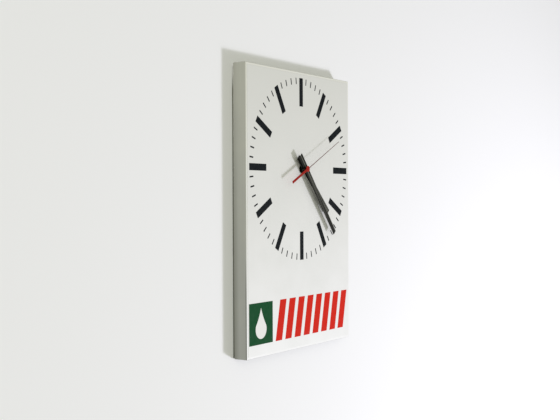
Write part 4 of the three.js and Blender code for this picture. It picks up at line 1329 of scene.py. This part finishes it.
class STATIONCLOCK_OT_set_stage(ClockOperator, bpy.types.Operator):
    """Set the pale wall and floor, the soft lights and the camera"""

    bl_idname = "station_clock.set_stage"
    bl_label = "Set stage"

    def surface(self, name, corners, material):
        bm = bmesh.new()
        bm.faces.new([bm.verts.new(corner) for corner in corners])
        mesh = bpy.data.meshes.new(name)
        bm.to_mesh(mesh)
        bm.free()
        mesh.materials.append(material)
        surface = bpy.data.objects.new(name, mesh)
        bpy.context.scene.collection.objects.link(surface)
        for ray in ("diffuse", "glossy", "transmission", "shadow"):
            setattr(surface, f"visible_{ray}", False)

    def area_light(self, name, place, target, size, power, colour):
        light = bpy.data.lights.new(name, "AREA")
        light.shape = "DISK"
        light.size = size
        light.energy = power
        light.color = colour
        lamp = bpy.data.objects.new(name, light)
        lamp.visible_camera = False
        bpy.context.scene.collection.objects.link(lamp)
        aim = (Vector(target) - Vector(place)).to_track_quat("-Z", "Y")
        lamp.matrix_world = Matrix.Translation(place) @ aim.to_matrix().to_4x4()

    def execute(self, context):
        stage = self.clock.stage
        middle = Vector((0.0, FACE_Y, (CASE_LOW.z + CASE_HIGH.z) / 2)) * MM
        reach = STAGE_REACH
        floor_z = CASE_LOW.z * MM - stage.drop
        wall = one_sided("painted_plaster_wall", stage.wall, 0.9, 6.0).material
        corners = [(-reach, 0, floor_z), (reach, 0, floor_z), (reach, 0, reach), (-reach, 0, reach)]
        self.surface("wall", corners, wall)
        # The stage stops no light, so that views from behind are lit. The wall behind the case
        # is therefore painted as dark as its shade would be.
        shade = self.shaded_plaster(stage.wall)
        left, right = CASE_LOW.x + 0.5, CASE_HIGH.x - 0.5
        low, high = CASE_LOW.z + 1.0, CASE_HIGH.z - 1.0
        corners = [(left, low), (right, low), (right, high), (left, high)]
        corners = [(x * MM, -0.0001, z * MM) for x, z in corners]
        self.surface("shaded_wall", corners, shade)
        floor = one_sided("pale_studio_floor", stage.floor, 0.7, 4.0).material
        corners = [(-reach, -reach, floor_z), (reach, -reach, floor_z)]
        corners += [(reach, 0, floor_z), (-reach, 0, floor_z)]
        self.surface("floor", corners, floor)

        key_place = middle + KEY_WAY.normalized() * KEY_DISTANCE
        # A small bright core gives the hands crisp shadows, and its surround softens their edges.
        self.area_light("key_core", key_place, middle, 0.3, 0.65 * stage.key, COOL)
        self.area_light("key_surround", key_place, middle, 0.95, 0.35 * stage.key, COOL)
        self.area_light("fill", middle + FILL_PLACE, middle, 2.4, stage.fill, WARM)
        self.area_light("back", middle + BACK_PLACE, middle, 2.4, stage.back, WHITE)

        world = bpy.data.worlds.new("soft_room")
        world.use_nodes = True
        world.node_tree.nodes.clear()
        inputs = {"Color": opaque(WARM), "Strength": stage.sky}
        background = add_node(world.node_tree, "ShaderNodeBackground", inputs=inputs)
        inputs = {"Surface": background.outputs["Background"]}
        add_node(world.node_tree, "ShaderNodeOutputWorld", inputs=inputs)
        context.scene.world = world
        context.scene.view_settings.view_transform = "Standard"
        self.add_camera(middle, stage.lens)
        return {"FINISHED"}

    def shaded_plaster(self, colour):
        """The wall's paint, dark behind the case but for its top, where light comes down."""
        paint = one_sided("painted_plaster_in_shade", colour, 0.9, 6.0)
        top = CASE_HIGH.z * MM
        dark_below, light_above = 0.045, 0.005
        light = paint.span(paint.axis("Z"), top - dark_below, top - light_above)
        paint.feed(paint.blend(light, "#83847C", colour))
        return paint.material

    def add_camera(self, middle, lens):
        """The camera looks in from the left, level with the dial's lower half."""
        yaw, pitch, roll = (math.radians(angle) for angle in CAMERA_TURN)
        up = Vector((0, 0, 1))
        ahead = Vector((math.sin(yaw), math.cos(yaw), 0))
        right = Vector((math.cos(yaw), -math.sin(yaw), 0))
        view = ahead * math.cos(pitch) + up * math.sin(pitch)
        head = up * math.cos(pitch) - ahead * math.sin(pitch)
        side = right * math.cos(roll) + head * math.sin(roll)
        top = head * math.cos(roll) - right * math.sin(roll)
        camera = bpy.data.cameras.new("camera")
        camera.lens = lens
        camera.sensor_width = 36.0
        camera.clip_start = 0.01
        camera.clip_end = 50.0
        eye = bpy.data.objects.new("camera", camera)
        bpy.context.scene.collection.objects.link(eye)
        turn = Matrix((side, top, -view)).transposed().to_4x4()
        eye.matrix_world = Matrix.Translation(middle + CAMERA_PLACE) @ turn
        bpy.context.scene.camera = eye


class STATIONCLOCK_PT_build(bpy.types.Panel):
    """Every step of the build, with its settings"""

    bl_idname = "STATIONCLOCK_PT_build"
    bl_label = "Station clock"
    bl_space_type = "VIEW_3D"
    bl_region_type = "UI"
    bl_category = "Station clock"

    def draw(self, context):
        clock = context.scene.station_clock
        for group in (clock.case, clock.dial, clock.mark, clock.hands, clock.movement, clock.stage):
            box = self.layout.box()
            for name in group.bl_rna.properties.keys():
                if name not in ("rna_type", "name"):
                    box.prop(group, name)
        steps = self.layout.column()
        for operator in OPERATORS:
            steps.operator(operator.bl_idname)


GROUPS = (
    CaseSettings,
    DialSettings,
    MarkSettings,
    HandSettings,
    MovementSettings,
    StageSettings,
    ClockSettings,
)
OPERATORS = (
    STATIONCLOCK_OT_set_stage,
    STATIONCLOCK_OT_fold_case,
    STATIONCLOCK_OT_lay_face,
    STATIONCLOCK_OT_print_dial,
    STATIONCLOCK_OT_print_marks,
    STATIONCLOCK_OT_make_hanger,
    STATIONCLOCK_OT_set_rivets,
    STATIONCLOCK_OT_fit_bumpers,
    STATIONCLOCK_OT_clamp_movement,
    STATIONCLOCK_OT_mould_movement,
    STATIONCLOCK_OT_fit_cell,
    STATIONCLOCK_OT_make_knob,
    STATIONCLOCK_OT_finish_works,
    STATIONCLOCK_OT_stamp_bar_hands,
    STATIONCLOCK_OT_stamp_second_hand,
)
CLASSES = (*GROUPS, *OPERATORS, STATIONCLOCK_PT_build)


def register():
    for cls in CLASSES:
        bpy.utils.register_class(cls)
    bpy.types.Scene.station_clock = PointerProperty(type=ClockSettings)


def unregister():
    del bpy.types.Scene.station_clock
    for cls in reversed(CLASSES):
        bpy.utils.unregister_class(cls)


def main():
    """Builds every piece in order."""
    register()
    for operator in OPERATORS:
        group, name = operator.bl_idname.split(".")
        getattr(getattr(bpy.ops, group), name)()


if __name__ == "__main__":
    main()
